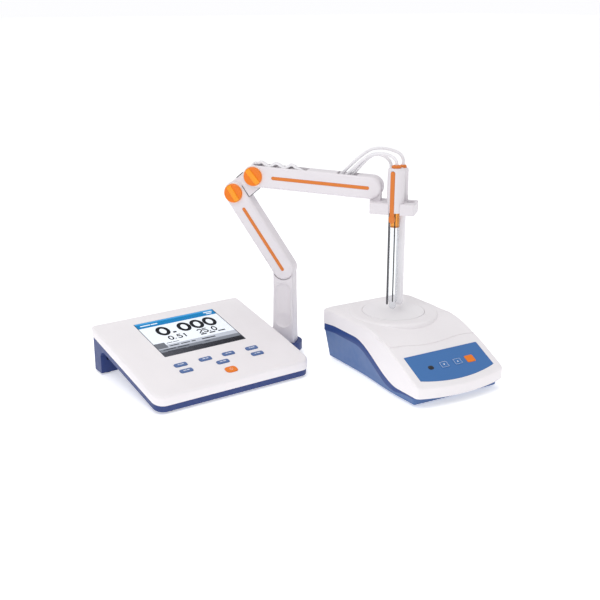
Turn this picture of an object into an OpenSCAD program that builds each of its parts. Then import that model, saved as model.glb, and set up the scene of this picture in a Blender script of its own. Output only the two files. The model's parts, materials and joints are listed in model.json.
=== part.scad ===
// Bench pH meter set: console with display and keys, folding electrode arm with two
// levelling linkages, two electrodes, a temperature probe and a matching magnetic stirrer.
// The origin is where the arm post's swivel axis meets the bench, +Z is up and the front of
// the console faces -Y.

/* [Console] */
// Width of the console
case_w = 242; // [240:1:246]
// Depth of the console
case_d = 200; // [198:1:204]
// Height of the front top edge above the bench
front_top = 25; // [24:0.5:26]
// Height of the rear top edge above the bench
rear_top = 67.5; // [66:0.5:69]
// Height of the white shell's edge band
band_h = 13; // [12:0.5:14]
// Height of the blue base's edge band
base_h = 9; // [8.5:0.5:9.5]
// Wall of the moulded shells
wall = 2.5; // [2:0.1:2.8]
// Travel of the console keys
key_travel = 1; // [0.6:0.1:1]

/* [Display] */
// Width of the display window
window_w = 130; // [126:1:134]
// Length of the display window along the slope
window_l = 98; // [94:1:100]

/* [Arm] */
// Distance of the post's axis from the console's middle
post_x = 145; // [144:1:147]
// Heading of the arm, seen from above
arm_heading = -51; // [-60:1:-45]
// Height of the lower arm's pivot on the post
post_h = 133; // [130:1:136]
// Lower arm pivot spacing
lower_l = 131; // [128:1:134]
// Lower arm angle above the horizontal
lower_angle = 123.8; // [122:0.2:125]
// Elbow link pivot spacing
link_l = 39.4; // [38:0.2:42]
// Elbow link angle above the horizontal
link_angle = 40.4; // [38:0.2:45]
// Upper arm pivot spacing
upper_l = 169.7; // [166:0.1:172]
// Upper arm angle above the horizontal
upper_angle = -2.9; // [-4:0.1:-2]
// Half width of the arms
arm_r = 16; // [15.5:0.1:16]
// Half thickness of the arms
arm_t = 13; // [13:0.1:13.5]
// Offset of the levelling rods from the main pivots
rod_offset = 9; // [8.8:0.1:9.2]

/* [Electrodes] */
// Radius of the electrode caps
cap_r = 12; // [10:0.1:12]
// Radius of the electrode shafts
shaft_r = 6; // [5.8:0.1:6]
// Radius of the temperature probe
temp_r = 1.5; // [1.4:0.1:1.8]
// Height of the electrode tips above the bench
tip_z = 88; // [87:1:92]

/* [Stirrer] */
// Width of the stirrer
st_w = 149; // [147:1:150]
// Height of the stirrer's deck
st_h = 80; // [79:0.5:80]
// Radius of the stirring plate
plate_r = 44.6; // [42:0.1:46]

/* [Hidden] */
$fn = 64;

white = "whitesmoke";
blue = "royalblue";
orange = "darkorange";
steel = "silver";
cable_grey = "lightgray";

eps = 1;                 // overrun of a cutter past the face it opens
run_gap = 0.05;          // radial clearance of a shaft or a sliding part
face_gap = 0.1;          // gap between faces that pass each other
foot_h = 3;              // height of the console's underside at the front edge
feet_r = 7;

// --- console derived values -------------------------------------------------------------
y_front = -case_d / 2;
y_rear = case_d / 2;
key_tilt = 13;                                        // slope of the key field
crease_y = y_front + 66;
crease_z = front_top + (crease_y - y_front) * tan(key_tilt);
display_tilt = atan2(rear_top - crease_z, y_rear - crease_y);
base_slope = (rear_top - front_top) / case_d;         // rise of the underside per mm
base_tilt = atan(base_slope);
part_front = front_top - band_h;
corner_front = 15;
corner_rear = 6;
base_inset = 1.5;
window_y = 17;                                        // window's front edge behind the crease
window_t = 1.2;
lcd_border = 4;

// Key centres on the key field: x, distance from the crease
key_w = 19;
key_l = 8;
key_row_back = -8.5;
key_row_front = -24;
power_y = -45;
key_flange = 1;
key_proud = 1.2;

screw_r = 1.5;
boss_r = 4.5;
console_bosses = [[-108, -78], [108, -78], [-108, 72], [108, 72]];
leg_w = 26;
leg_l = 25;
leg_x = case_w / 2 - base_inset - leg_w / 2;

// Rear sockets: x and radius of the two probe sockets, the thermometer and the supply socket
socket_r = 4.8;
socket_len = 10;
socket_x = [70, 45, 20];
spare_x = -5;
supply_x = -60;
socket_z = part_z(y_rear, 0);
plug_len = 15;
tail_y = y_rear + 13.5;   // the leads go down here
tail_z = 12;             // and run along the bench at this height
tail_r = 2.4;

// --- bracket and post derived values ---------------------------------------------------------
bracket_r = 25;
bracket_half = 22;       // half width of the tongue under the console
pad_r = 14;              // rubber pad under the bracket's end
bracket_bottom = 8;
bracket_top = 20;
bracket_root = 28;       // height of the tongue before it is trimmed to the underside
bracket_tail = 84;
recess_z = 78;           // shallow recess in the front of the post
recess_half = 22.1;
recess_r = 11.8;
recess_deep = 2.5;
bracket_holes = [[96, 0], [112, 0]];
swivel_r = 6;
bush_r = 9;
post_half = 15;
post_t = 12;
tongue_front = -9.5;     // link and tongue layer
tongue_back = 3;
rod_front = 4;           // rod layer
rod_back = 8;
cheek = arm_t - wall;
pivot_r = 3;

// --- arm points in the arm's plane: reach from the post, height ----------------------------------
function polar(a, r) = [r * cos(a), r * sin(a)];
p_post = [0, post_h];
p_elbow_low = p_post + polar(lower_angle, lower_l);
p_elbow_high = p_elbow_low + polar(link_angle, link_l);
p_wrist = p_elbow_high + polar(upper_angle, upper_l);
rod_low_dir = 4.8;
rod_high_dir = -74;
d_low = polar(rod_low_dir, rod_offset);
d_high = polar(rod_high_dir, rod_offset);
knob_r = 13.4;
knob_t = 4;
knob_ridge = 1.2;        // height of the grip on the knob's face
bolt_proud = 2.5;        // length of the elbow bolt inside the knob
stripe_r = 2.4;
stripe_depth = 1;

// --- holder and probes ---------------------------------------------------------------------------
holder_bottom = 225;
holder_top = 241;
holder_front = -24;
holder_back = 14;
holder_near = 128;
holder_far = 191;
neck = [125.6, 141];     // reach of the neck's two edges
neck_top = -5;           // height of the neck's outer corner from the wrist pin
ph_at = [163, -14];      // reach, depth
ref_at = [168, 10];
temp_at = [152.2, 3];
spare_at = [182.3, -3];
clip_open = 16;
cap_bottom = 228;
cap_top = 289;
collar_r = 6.8;
ref_cap_r = 8.5;
ref_collar_r = 5;
ref_cap_top = 286;
collar_h = 4;
sleeve_r = 6.9;
sleeve_low = 207;
slider_w = 6.4;
slider_turn = -14;       // the filling slot is turned this far from the arm's front
slider_low = 219.5;
slider_high = 286;

// --- stirrer derived values -------------------------------------------------------------------
st_at = [99, -163];
st_turn = -4.4;
st_front = -125.5;
st_back = 111;
st_seam = [-56, 63.5];
st_panel_top = [-72.2, 55.7];
st_panel_bottom = [-118.2, 31.6];
st_lip = [st_front, 27.7];
plate_y = 37;
panel_w = 124;
panel_tilt = atan2(st_panel_top[1] - st_panel_bottom[1], st_panel_top[0] - st_panel_bottom[0]);
panel_l = norm(st_panel_top - st_panel_bottom);
panel_t = 1.2;
bow_r = 360;             // radius of the bowed front
panel_bow = 215;         // radius of the key panel's front edge
base_front = st_front + 18;
st_corner = [6, 5];      // radii of the front and the rear corners
st_key_x = [-11.5, 11.5, 33];
st_key_grow = [0, 0, 0.5];   // the orange key is larger than the other two
st_key_y = -25.4;
st_foot_z = 3;
st_step = 12;            // height of the overhanging band of the stirrer's base
seam_parts = 28;

// ===== shared shapes ==========================================================================

// Rectangle with rounded corners, front corners at r_front and back corners at r_back
module rounded_plan(w, front, back, r_front, r_back) {
    translate([-w / 2, front + r_front]) square([w, back - front - r_front - r_back]);
    translate([-w / 2 + r_front, front]) square([w - 2 * r_front, r_front + eps]);
    translate([-w / 2 + r_back, back - r_back - eps]) square([w - 2 * r_back, r_back + eps]);
    for (side = [-1, 1]) {
        translate([side * (w / 2 - r_front), front + r_front]) circle(r_front);
        translate([side * (w / 2 - r_back), back - r_back]) circle(r_back);
    }
}

// Side view (y, z) drawn out across the width
module across(w) {
    rotate([90, 0, 90]) linear_extrude(w, center = true) children();
}

// Outline in the arm's plane given a thickness from depth d0 to d1
module slab(d0, d1) {
    translate([0, d1, 0]) rotate([90, 0, 0]) linear_extrude(d1 - d0) children();
}

// Cylinder across the arm's plane at point p
module cross_pin(p, r, d0, d1) {
    translate([p[0], d1, p[1]]) rotate([90, 0, 0]) cylinder(r = r, h = d1 - d0);
}

// Bar with round ends from x0 to x1
module capsule(x0, x1, r) {
    translate([x0, -r]) square([x1 - x0, 2 * r]);
    translate([x0, 0]) circle(r);
    translate([x1, 0]) circle(r);
}

module arm_plane() {
    rotate([0, 0, arm_heading]) children();
}

// Frame at the middle of the console's footprint
module console_frame() {
    translate([-post_x, 0, 0]) children();
}

// Frame of a bar that starts at p and points at angle a; x runs along the bar
module bar_frame(p, a) {
    translate([p[0], 0, p[1]]) rotate([0, -a, 0]) children();
}

module at_probe(p) {
    translate([p[0], p[1], 0]) children();
}

// ===== console =================================================================================

function part_z(y, drop) = part_front - drop + (y - y_front) * base_slope;

module on_display() {
    translate([0, crease_y, crease_z]) rotate([display_tilt, 0, 0]) children();
}

module on_keys() {
    translate([0, crease_y, crease_z]) rotate([key_tilt, 0, 0]) children();
}

// Frame on the parting plane, origin under the console's middle
module on_parting() {
    translate([0, 0, part_z(0, 0)]) rotate([base_tilt, 0, 0]) children();
}

// White shell's side view, lowered by t and shortened by t at both ends
module top_profile(t) {
    polygon([
        [y_front + t, part_z(y_front + t, eps * sign(t))],
        [y_front + t, front_top - t + t * tan(key_tilt)],
        [crease_y, crease_z - t],
        [y_rear - t, rear_top - t - t * tan(display_tilt)],
        [y_rear - t, part_z(y_rear - t, eps * sign(t))]
    ]);
}

module case_prism(inset) {
    linear_extrude(2 * rear_top, center = true)
        rounded_plan(case_w - 2 * inset, y_front + inset, y_rear - inset,
            corner_front - inset, corner_rear - inset);
}

// Parallelogram key outline with rounded ends
module key_outline(w, l, grow) {
    r = l / 2 + grow;
    translate([-(w - l) / 2, -r]) square([w - l, 2 * r]);
    for (side = [-1, 1]) translate([side * (w - l) / 2, 0]) circle(r);
}

module power_outline(grow) {
    r = 5 + grow;
    rounded_plan(17.5 + 2 * grow, -6.5 - grow, 6.5 + grow, r, r);
}

module key_places() {
    for (x = [-54.7, -16.6, 20.1, 58.2]) translate([x, key_row_back, 0]) children();
    for (x = [-54.3, 2.3, 58.2]) translate([x, key_row_front, 0]) children();
}

module socket_axis(x, z) {
    translate([x, y_rear, z]) rotate([-90, 0, 0]) children();
}

// Openings in the rear wall, half in the white shell and half in the blue one
module socket_openings() {
    opening_depth = 8 * wall;
    for (x = concat(socket_x, [spare_x])) socket_axis(x, socket_z)
        cylinder(r = socket_r + 0.3, h = opening_depth, center = true);
    socket_axis(supply_x, socket_z) cylinder(r = 4.3, h = opening_depth, center = true);
}

module case_top() {
    color(white) console_frame() difference() {
        intersection() {
            across(case_w) top_profile(0);
            case_prism(0);
        }
        difference() {
            intersection() {
                across(case_w) top_profile(wall);
                case_prism(wall);
            }
            for (b = console_bosses)
                on_parting() translate([b[0], b[1], 0]) cylinder(r = boss_r, h = band_h);
        }
        for (b = console_bosses)
            on_parting() translate([b[0], b[1], -eps]) cylinder(r = screw_r, h = 8 + eps);
        on_display() translate([-window_w / 2, window_y, -window_t])
            cube([window_w, window_l, 2 * window_t]);
        on_display() translate([-window_w / 2 + lcd_border, window_y + lcd_border, -2 * wall])
            cube([window_w - 2 * lcd_border, window_l - 2 * lcd_border, 2 * wall]);
        on_keys() key_places() translate([0, 0, -2 * wall])
            linear_extrude(3 * wall) key_outline(key_w, key_l, 0.2);
        on_keys() translate([3, power_y, -2 * wall]) linear_extrude(3 * wall) power_outline(0.2);
        socket_openings();
    }
}

module base_profile() {
    polygon([
        [y_front + base_inset, part_z(y_front + base_inset, base_h)],
        [y_rear - base_inset, part_z(y_rear - base_inset, base_h)],
        [y_rear - base_inset, part_z(y_rear - base_inset, 0)],
        [y_front + base_inset, part_z(y_front + base_inset, 0)]
    ]);
}

// Rear leg's side view: down to the foot, with a fillet up to the underside in front
module leg_profile() {
    back = y_rear - base_inset;
    front = back - leg_l;
    fillet = 10;
    difference() {
        polygon([
            [front - fillet, part_z(front - fillet, base_h - eps)],
            [back, part_z(back, base_h - eps)],
            [back - 2, foot_h],
            [front, foot_h],
            [front, part_z(front, base_h) - fillet],
            [front - fillet, part_z(front - fillet, base_h) - 1]
        ]);
        translate([front - fillet, part_z(front - fillet, base_h) - fillet - 1]) circle(fillet);
    }
}

module case_bottom() {
    color(blue) console_frame() difference() {
        union() {
            intersection() {
                across(case_w) base_profile();
                case_prism(base_inset);
            }
            for (side = [-1, 1]) intersection() {
                translate([side * leg_x, 0, 0]) across(leg_w) leg_profile();
                case_prism(base_inset);
            }
        }
        difference() {
            on_parting() translate([0, 0, -base_h + wall])
                linear_extrude(base_h) rounded_plan(case_w - 2 * base_inset - 2 * wall,
                    y_front + base_inset + wall, y_rear - base_inset - wall, corner_front, corner_rear);
            for (b = console_bosses)
                on_parting() translate([b[0], b[1], -base_h]) cylinder(r = boss_r + 1, h = base_h);
            for (h = bracket_holes)
                translate([h[0], h[1], 0]) cylinder(r = boss_r, h = part_z(h[1], 0));
        }
        for (b = console_bosses) {
            on_parting() translate([b[0], b[1], -2 * base_h]) cylinder(r = screw_r + 0.3, h = 3 * base_h);
            on_parting() translate([b[0], b[1], -3 * base_h])
                cylinder(r = 2 * screw_r + 0.3, h = 2 * base_h + 4);
        }
        for (h = bracket_holes)
            translate([h[0], h[1], 0]) cylinder(r = screw_r, h = part_z(h[1], 2));
        for (side = [-1, 1]) {
            translate([side * (case_w / 2 - 24), y_front + 14, 0]) cylinder(r = feet_r, h = foot_h + 4);
            translate([side * leg_x, y_rear - leg_l / 2 - 2, 0]) cylinder(r = feet_r, h = foot_h + 1.5);
        }
        socket_openings();
    }
}

module display_window() {
    color("lightblue", 0.4) console_frame() on_display()
        translate([-window_w / 2 + face_gap, window_y + face_gap, -window_t])
            cube([window_w - 2 * face_gap, window_l - 2 * face_gap, window_t]);
}

// Display module: panel in a frame, held under the window
module lcd_panel() {
    color("gainsboro") console_frame() on_display() translate([-63, window_y + 2, -wall - 4.2])
        cube([126, window_l - 4, 4]);
    color("dimgray") console_frame() on_display() translate([-50, window_y + 10, -wall - 6.2])
        cube([100, window_l - 20, 2.1]);
}

// Main circuit board with its larger components, on the base's pillars
module main_board() {
    color("darkgreen") console_frame() on_parting() difference() {
        union() {
            translate([-100, -20, -1.6]) cube([184, 100, 1.6]);
            translate([-70, 10, -0.1]) cube([22, 22, 1.9]);
            translate([-30, 14, -0.1]) cube([14, 14, 1.4]);
            translate([10, 20, -0.1]) cube([30, 12, 1.7]);
            translate([60, -12, -3]) cube([18, 26, 2]);
            translate([-86, 60, -5]) cylinder(r = 4, h = 3.5);
        }
        for (x = [-94, 78]) translate([x, 74, -eps - 2]) cylinder(r = screw_r, h = 5);
    }
}

// Silicone mat with one dome under each key, on its carrier board
module key_mat() {
    color("dimgray") console_frame() on_keys() {
        translate([-72, -56, -8.4]) cube([144, 56, 1.2]);
        key_places() translate([0, 0, -7.3]) cylinder(r = 3, h = 1);
        translate([3, power_y, -7.3]) cylinder(r = 3, h = 1);
    }
}

module foot(x, y, top) {
    translate([x, y, 0]) cylinder(r = feet_r - 0.1, h = top);
}

// Four feet under the console and the pad under the bracket's end
module console_feet() {
    color("dimgray") console_frame() {
        for (side = [-1, 1]) {
            foot(side * (case_w / 2 - 24), y_front + 14, foot_h + 4);
            foot(side * leg_x, y_rear - leg_l / 2 - 2, foot_h + 1.5);
        }
        translate([post_x, 0, 0]) difference() {
            cylinder(r = pad_r, h = bracket_bottom);
            translate([0, 0, 1.5]) cylinder(r = pad_r - 3, h = bracket_bottom);
        }
    }
}

module pan_screw(length) {
    cylinder(r = 2 * screw_r, h = 2.5);
    cylinder(r = screw_r, h = length);
}

module console_screws() {
    color(steel) console_frame() {
        for (b = console_bosses)
            on_parting() translate([b[0], b[1], -base_h + 1.4]) pan_screw(12);
        for (h = bracket_holes)
            translate([h[0], h[1], bracket_bottom - 2.5]) pan_screw(part_z(h[1], 2) - bracket_bottom);
    }
}

module probe_socket() {
    cylinder(r = socket_r, h = socket_len);
    translate([0, 0, -wall - 4]) cylinder(r = socket_r, h = wall + 4);
    cylinder(r = socket_r + 1.6, h = 1.5);
    translate([0, 0, 5.5]) rotate([90, 0, 0]) cylinder(r = 1, h = 2 * socket_r + 2, center = true);
}

module rear_sockets() {
    color("gold") console_frame() for (x = concat(socket_x, [spare_x]))
        socket_axis(x, socket_z) probe_socket();
    color("dimgray") console_frame() socket_axis(supply_x, socket_z) difference() {
        translate([0, 0, -8]) cylinder(r = 4, h = 9);
        translate([0, 0, -4]) cylinder(r = 2.8, h = 6);
    }
}

// One key: cap, flange that keeps it in, plunger over the dome
module key_body(w, l) {
    linear_extrude(key_proud + wall + key_travel) key_outline(w, l, 0);
}

module console_key(x, y) {
    console_frame() on_keys() translate([x, y, 0]) {
        translate([0, 0, -wall - key_travel]) key_body(key_w, key_l);
        translate([0, 0, -wall - key_flange - 0.1]) linear_extrude(key_flange)
            key_outline(key_w, key_l, 1.2);
        translate([0, 0, -5.2]) cylinder(r = 2, h = 2);
    }
}

module key_menu() { color(blue) console_key(-54.7, key_row_back); }
module key_mode() { color(blue) console_key(-16.6, key_row_back); }
module key_cal() { color(blue) console_key(20.1, key_row_back); }
module key_read() { color(blue) console_key(58.2, key_row_back); }
module key_store() { color(blue) console_key(-54.3, key_row_front); }
module key_print() { color(blue) console_key(2.3, key_row_front); }
module key_enter() { color(blue) console_key(58.2, key_row_front); }

module key_power() {
    color(orange) console_frame() on_keys() translate([3, power_y, 0]) {
        translate([0, 0, -wall - key_travel])
            linear_extrude(key_proud + wall + key_travel) power_outline(0);
        translate([0, 0, -wall - key_flange - 0.1]) linear_extrude(key_flange) power_outline(1.2);
        translate([0, 0, -5.2]) cylinder(r = 2, h = 2);
    }
}

// Probe leads from the post's foot round to angled plugs on the rear sockets
module cable_tail() {
    first = min(socket_x);
    color(cable_grey) console_frame() {
        for (x = socket_x) {
            socket_axis(x, socket_z) difference() {
                translate([0, 0, 2]) cylinder(r = socket_r + 1.5, h = plug_len);
                translate([0, 0, 1]) cylinder(r = socket_r + 0.2, h = socket_len);
                translate([0, 0, 5.5]) cube([2.6, 2 * socket_r + 5, 9], center = true);
            }
            translate([x, tail_y, tail_z]) cylinder(r = tail_r, h = socket_z - tail_z - 2);
        }
        for (x = [first, post_x]) translate([x, tail_y, tail_z]) sphere(r = tail_r);
        translate([first, tail_y, tail_z]) rotate([0, 90, 0]) cylinder(r = tail_r, h = post_x - first);
        translate([post_x, 32, tail_z]) rotate([-90, 0, 0]) cylinder(r = tail_r, h = tail_y - 32);
    }
}

// ===== bracket and post ==========================================================================

module arm_bracket() {
    underside = part_z(0, base_h) - run_gap;
    color(blue) console_frame() difference() {
        translate([0, 0, bracket_bottom]) union() {
            translate([post_x, 0, 0]) cylinder(r = bracket_r, h = bracket_top - bracket_bottom);
            translate([bracket_tail, -bracket_half, 0])
                cube([post_x - bracket_tail, 2 * bracket_half, bracket_top - bracket_bottom]);
            translate([bracket_tail, -bracket_half, 0])
                cube([case_w / 2 - bracket_tail, 2 * bracket_half, bracket_root - bracket_bottom]);
        }
        translate([case_w / 2 - 60 + 0.2, 0, underside]) rotate([base_tilt, 0, 0])
            translate([0, 0, 50]) cube([120, 200, 100], center = true);
        translate([post_x, 0, 0]) cylinder(r = bush_r, h = 2 * bracket_top);
        for (h = bracket_holes) translate([h[0], h[1], 0]) {
            cylinder(r = screw_r + 0.2, h = 2 * bracket_root);
        }
    }
}

module swivel_bush() {
    color("goldenrod") console_frame() translate([post_x, 0, bracket_bottom]) difference() {
        cylinder(r = bush_r, h = bracket_top - bracket_bottom);
        translate([0, 0, -eps]) cylinder(r = swivel_r + run_gap, h = bracket_top);
    }
}

module post() {
    color(white) arm_plane() difference() {
        union() {
            slab(-post_t, post_t) {
                translate([-post_half, bracket_top + face_gap])
                    square([2 * post_half, post_h - bracket_top - face_gap]);
                translate([0, post_h]) circle(post_half);
            }
            slab(-post_t, post_t) polygon([
                [-post_half - 1.5, bracket_top + face_gap],
                [post_half + 1.5, bracket_top + face_gap],
                [post_half, post_h - 2 * arm_r],
                [-post_half, post_h - 2 * arm_r]
            ]);
        }
        cross_pin(p_post, arm_r + 0.4, -2 * post_t, tongue_front);
        cross_pin(p_post, arm_r + 0.4, tongue_back, 2 * post_t);
        cross_pin(p_post, pivot_r, -post_t, post_t);
        cross_pin(p_post + d_low, 1.5, -post_t, post_t);
        slab(-2 * post_t, -post_t + recess_deep) translate([0, recess_z]) rotate(90)
            capsule(-recess_half, recess_half, recess_r);
        translate([0, 0, bracket_top - eps]) cylinder(r = swivel_r, h = 30);
    }
}

// Swivel bolt with its washer and nut under the bracket
module swivel_bolt() {
    color(steel) console_frame() translate([post_x, 0, 0]) {
        translate([0, 0, 2.2]) cylinder(r = swivel_r, h = bracket_top + 24);
        translate([0, 0, 2.2]) cylinder(r = 8, h = 4.2, $fn = 6);
        translate([0, 0, 6.4]) cylinder(r = 10, h = 1.5);
    }
}

module post_pin() {
    color(steel) arm_plane() {
        cross_pin(p_post, pivot_r, -arm_t + 1.4, arm_t + 0.3);
        cross_pin(p_post, 5, arm_t + 0.1, arm_t + 2);
        cross_pin(p_post + d_low, 1.5, tongue_front, rod_back + 1.5);
    }
}

// ===== arms ======================================================================================

// Hollow arm: two cheeks joined by a wall round the edge; children open the wall
module arm_shell(length) {
    difference() {
        slab(-arm_t, arm_t) capsule(0, length, arm_r);
        slab(-cheek, cheek) {
            capsule(0, length, arm_r - wall);
            children();
        }
    }
}

// Opening in the arm's edge wall from x0 to x1, on the upper side (1) or the lower side (-1)
module edge_opening(x0, x1, side) {
    translate([x0, side > 0 ? 0 : -2 * arm_r]) square([x1 - x0, 2 * arm_r]);
}

module stripe_outline(x0, x1, grow) {
    capsule(x0 + stripe_r, x1 - stripe_r, stripe_r + grow);
}

lower_stripe_ends = [-2, 106];
upper_stripe_ends = [27, 168.5];

module lower_arm() {
    color(white) arm_plane() bar_frame(p_post, lower_angle) difference() {
        union() {
            arm_shell(lower_l) {
                edge_opening(-2 * arm_r, lower_l + 2 * arm_r, 1);
                edge_opening(-2 * arm_r, 9, -1);
                edge_opening(lower_l - 21, lower_l + 2 * arm_r, -1);
            }
            slab(-arm_t - 0.6, -arm_t + 0.1) translate([lower_l, 0]) difference() {
                circle(knob_r + 1.2);
                circle(knob_r + 0.2);
            }
        }
        cross_pin([0, 0], pivot_r + run_gap, -arm_t + 1.4, 2 * arm_t);
        cross_pin([lower_l, 0], pivot_r + run_gap, -2 * arm_t, 2 * arm_t);
        slab(-2 * arm_t, -arm_t + stripe_depth)
            stripe_outline(lower_stripe_ends[0], lower_stripe_ends[1], 0.05);
    }
}

module lower_stripe() {
    color(orange) arm_plane() bar_frame(p_post, lower_angle)
        slab(-arm_t - 0.2, -arm_t + stripe_depth)
            stripe_outline(lower_stripe_ends[0], lower_stripe_ends[1], 0);
}

module upper_arm() {
    color(white) arm_plane() bar_frame(p_elbow_high, upper_angle) difference() {
        union() {
            arm_shell(upper_l) {
                edge_opening(-2 * arm_r, 78, 1);
                edge_opening(120, 150, 1);
                edge_opening(-2 * arm_r, 16, -1);
                translate([0, -3]) edge_opening(upper_l - 18, upper_l + 2 * arm_r, -1);
            }
            slab(-arm_t - 0.6, -arm_t + 0.1) difference() {
                circle(knob_r + 1.2);
                circle(knob_r + 0.2);
            }
        }
        cross_pin([0, 0], pivot_r + run_gap, -2 * arm_t, 2 * arm_t);
        cross_pin([upper_l, 0], pivot_r + run_gap, -arm_t + 1.4, 2 * arm_t);
        slab(-2 * arm_t, -arm_t + stripe_depth)
            stripe_outline(upper_stripe_ends[0], upper_stripe_ends[1], 0.05);
    }
}

module upper_stripe() {
    color(orange) arm_plane() bar_frame(p_elbow_high, upper_angle)
        slab(-arm_t - 0.2, -arm_t + stripe_depth)
            stripe_outline(upper_stripe_ends[0], upper_stripe_ends[1], 0);
}

// Levelling rod with an eye at each end; the far eye has play round its pin
module rod(length) {
    difference() {
        union() {
            slab(rod_front, rod_back) translate([0, -2]) square([length, 4]);
            cross_pin([0, 0], 4, rod_front, rod_back);
            cross_pin([length, 0], 4, rod_front, rod_back);
        }
        cross_pin([0, 0], 1.5 + run_gap, -arm_t, arm_t);
        cross_pin([length, 0], 1.8, -arm_t, arm_t);
    }
}

module lower_rod() {
    color(steel) arm_plane() bar_frame(p_post + d_low, lower_angle) rod(lower_l);
}

module upper_rod() {
    color(steel) arm_plane() bar_frame(p_elbow_high + d_high, upper_angle) rod(upper_l);
}

module elbow_link() {
    outer = 14.5;
    inner = 18.5;
    over = 8;
    color(white) arm_plane() bar_frame(p_elbow_low, link_angle) difference() {
        slab(tongue_front, tongue_back)
            rounded_plan_xz(-over, link_l + over, -inner, outer, 3);
        cross_pin([0, 0], pivot_r, -arm_t, arm_t);
        cross_pin([link_l, 0], pivot_r, -arm_t, arm_t);
    }
}

module rounded_plan_xz(x0, x1, z0, z1, r) {
    translate([x0 + r, z0]) square([x1 - x0 - 2 * r, z1 - z0]);
    translate([x0, z0 + r]) square([x1 - x0, z1 - z0 - 2 * r]);
    for (x = [x0 + r, x1 - r], z = [z0 + r, z1 - r]) translate([x, z]) circle(r);
}

// Pivot bolts of the elbow link and the two pins for the levelling rods
module elbow_bolts() {
    color(steel) arm_plane() {
        for (p = [p_elbow_low, p_elbow_high]) {
            cross_pin(p, pivot_r, -arm_t - bolt_proud, arm_t + 1);
            cross_pin(p, 5.5, arm_t + 0.1, arm_t + 3);
        }
        cross_pin(p_elbow_low + d_low, 1.5, tongue_back, rod_back + 1.5);
        cross_pin(p_elbow_high + d_high, 1.5, tongue_back, rod_back + 1.5);
    }
}

// Round friction knob with a raised grip across its face
module knob(turn) {
    top = -arm_t - knob_t - knob_ridge;
    difference() {
        union() {
            cross_pin([0, 0], knob_r, -arm_t - knob_t, -arm_t - face_gap);
            intersection() {
                cross_pin([0, 0], knob_r, top, -arm_t - 1);
                rotate([0, -turn, 0]) slab(top, -arm_t - 1)
                    translate([-2 * knob_r, -4]) square([4 * knob_r, 8]);
            }
        }
        cross_pin([0, 0], pivot_r + run_gap, -arm_t - bolt_proud - face_gap, 0);
    }
}

module knob_lower() {
    color(orange) arm_plane() translate([p_elbow_low[0], 0, p_elbow_low[1]]) knob(-58);
}

module knob_upper() {
    color(orange) arm_plane() translate([p_elbow_high[0], 0, p_elbow_high[1]]) knob(-50);
}

// ===== holder and probes ========================================================================

module clip_bore(p, r, toward) {
    at_probe(p) {
        translate([0, 0, holder_bottom - eps]) cylinder(r = r, h = 2 * eps + holder_top - holder_bottom);
        translate([-clip_open / 2, toward > 0 ? 0 : -30, holder_bottom - eps])
            cube([clip_open, 30, 2 * eps + holder_top - holder_bottom]);
    }
}

module holder() {
    color(white) arm_plane() difference() {
        union() {
            translate([holder_near, holder_front, holder_bottom])
                cube([holder_far - holder_near, holder_back - holder_front, holder_top - holder_bottom]);
            slab(tongue_front, tongue_back) {
                translate(p_wrist) circle(arm_r - wall - 0.5);
                translate([neck[0], holder_bottom + 2])
                    square([neck[1] - neck[0], p_wrist[1] + neck_top - holder_bottom - 2]);
            }
        }
        clip_bore(ph_at, cap_r + run_gap, -1);
        clip_bore(ref_at, ref_cap_r + run_gap, 1);
        at_probe(temp_at) translate([0, 0, holder_bottom - eps])
            cylinder(r = temp_r + run_gap, h = 30);
        at_probe(spare_at) translate([0, 0, holder_bottom - eps])
            cylinder(r = shaft_r + run_gap, h = 30);
        cross_pin(p_wrist, pivot_r, -arm_t, arm_t);
    }
}

module wrist_pin() {
    color(steel) arm_plane() {
        cross_pin(p_wrist, pivot_r, -arm_t + 1.4, arm_t + 0.3);
        cross_pin(p_wrist, 5, arm_t + 0.1, arm_t + 2);
        cross_pin(p_wrist + d_high, 1.5, tongue_back, rod_back + 1.5);
    }
}

// White cap that clips in the holder, with a slot down its front for the filling slider
module ph_cap() {
    color(white) arm_plane() at_probe(ph_at) difference() {
        translate([0, 0, cap_bottom]) cylinder(r = cap_r, h = cap_top - cap_bottom);
        translate([0, 0, cap_bottom - eps]) cylinder(r = shaft_r, h = 50);
        translate([0, 0, cap_bottom - eps]) cylinder(r = 2.5, h = 80);
        rotate([0, 0, slider_turn]) translate([-slider_w / 2 - 0.1, -cap_r - eps, cap_bottom - eps])
            cube([slider_w + 0.2, 2.6 + eps, slider_high - cap_bottom + eps + face_gap]);
    }
}

module ph_collar() {
    color(orange) arm_plane() at_probe(ph_at) difference() {
        translate([0, 0, cap_top]) cylinder(r = collar_r, h = collar_h);
        translate([0, 0, cap_top - eps]) cylinder(r = 2.5, h = 2 * collar_h);
    }
}

// Sliding cover of the filling hole: a long stripe in the cap's slot with a round thumb end
module fill_slider() {
    color(orange) arm_plane() at_probe(ph_at) rotate([0, 0, slider_turn]) {
        translate([-slider_w / 2, -cap_r + 0.2, slider_low])
            cube([slider_w, 2.2, slider_high - slider_low]);
        translate([0, -cap_r + 2.4, slider_low]) rotate([90, 0, 0]) cylinder(r = 5, h = 3);
    }
}

// Glass shaft ending in the membrane bulb
module ph_shaft() {
    color("lightcyan", 0.5) arm_plane() at_probe(ph_at) {
        translate([0, 0, tip_z + 5]) cylinder(r = shaft_r, h = 180);
        translate([0, 0, tip_z + 5]) sphere(r = 5);
    }
}

module ph_sleeve() {
    color("orange", 0.6) arm_plane() at_probe(ph_at) difference() {
        translate([0, 0, sleeve_low]) cylinder(r = sleeve_r, h = cap_bottom - sleeve_low);
        translate([0, 0, sleeve_low - eps]) cylinder(r = shaft_r, h = 40);
    }
}

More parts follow.
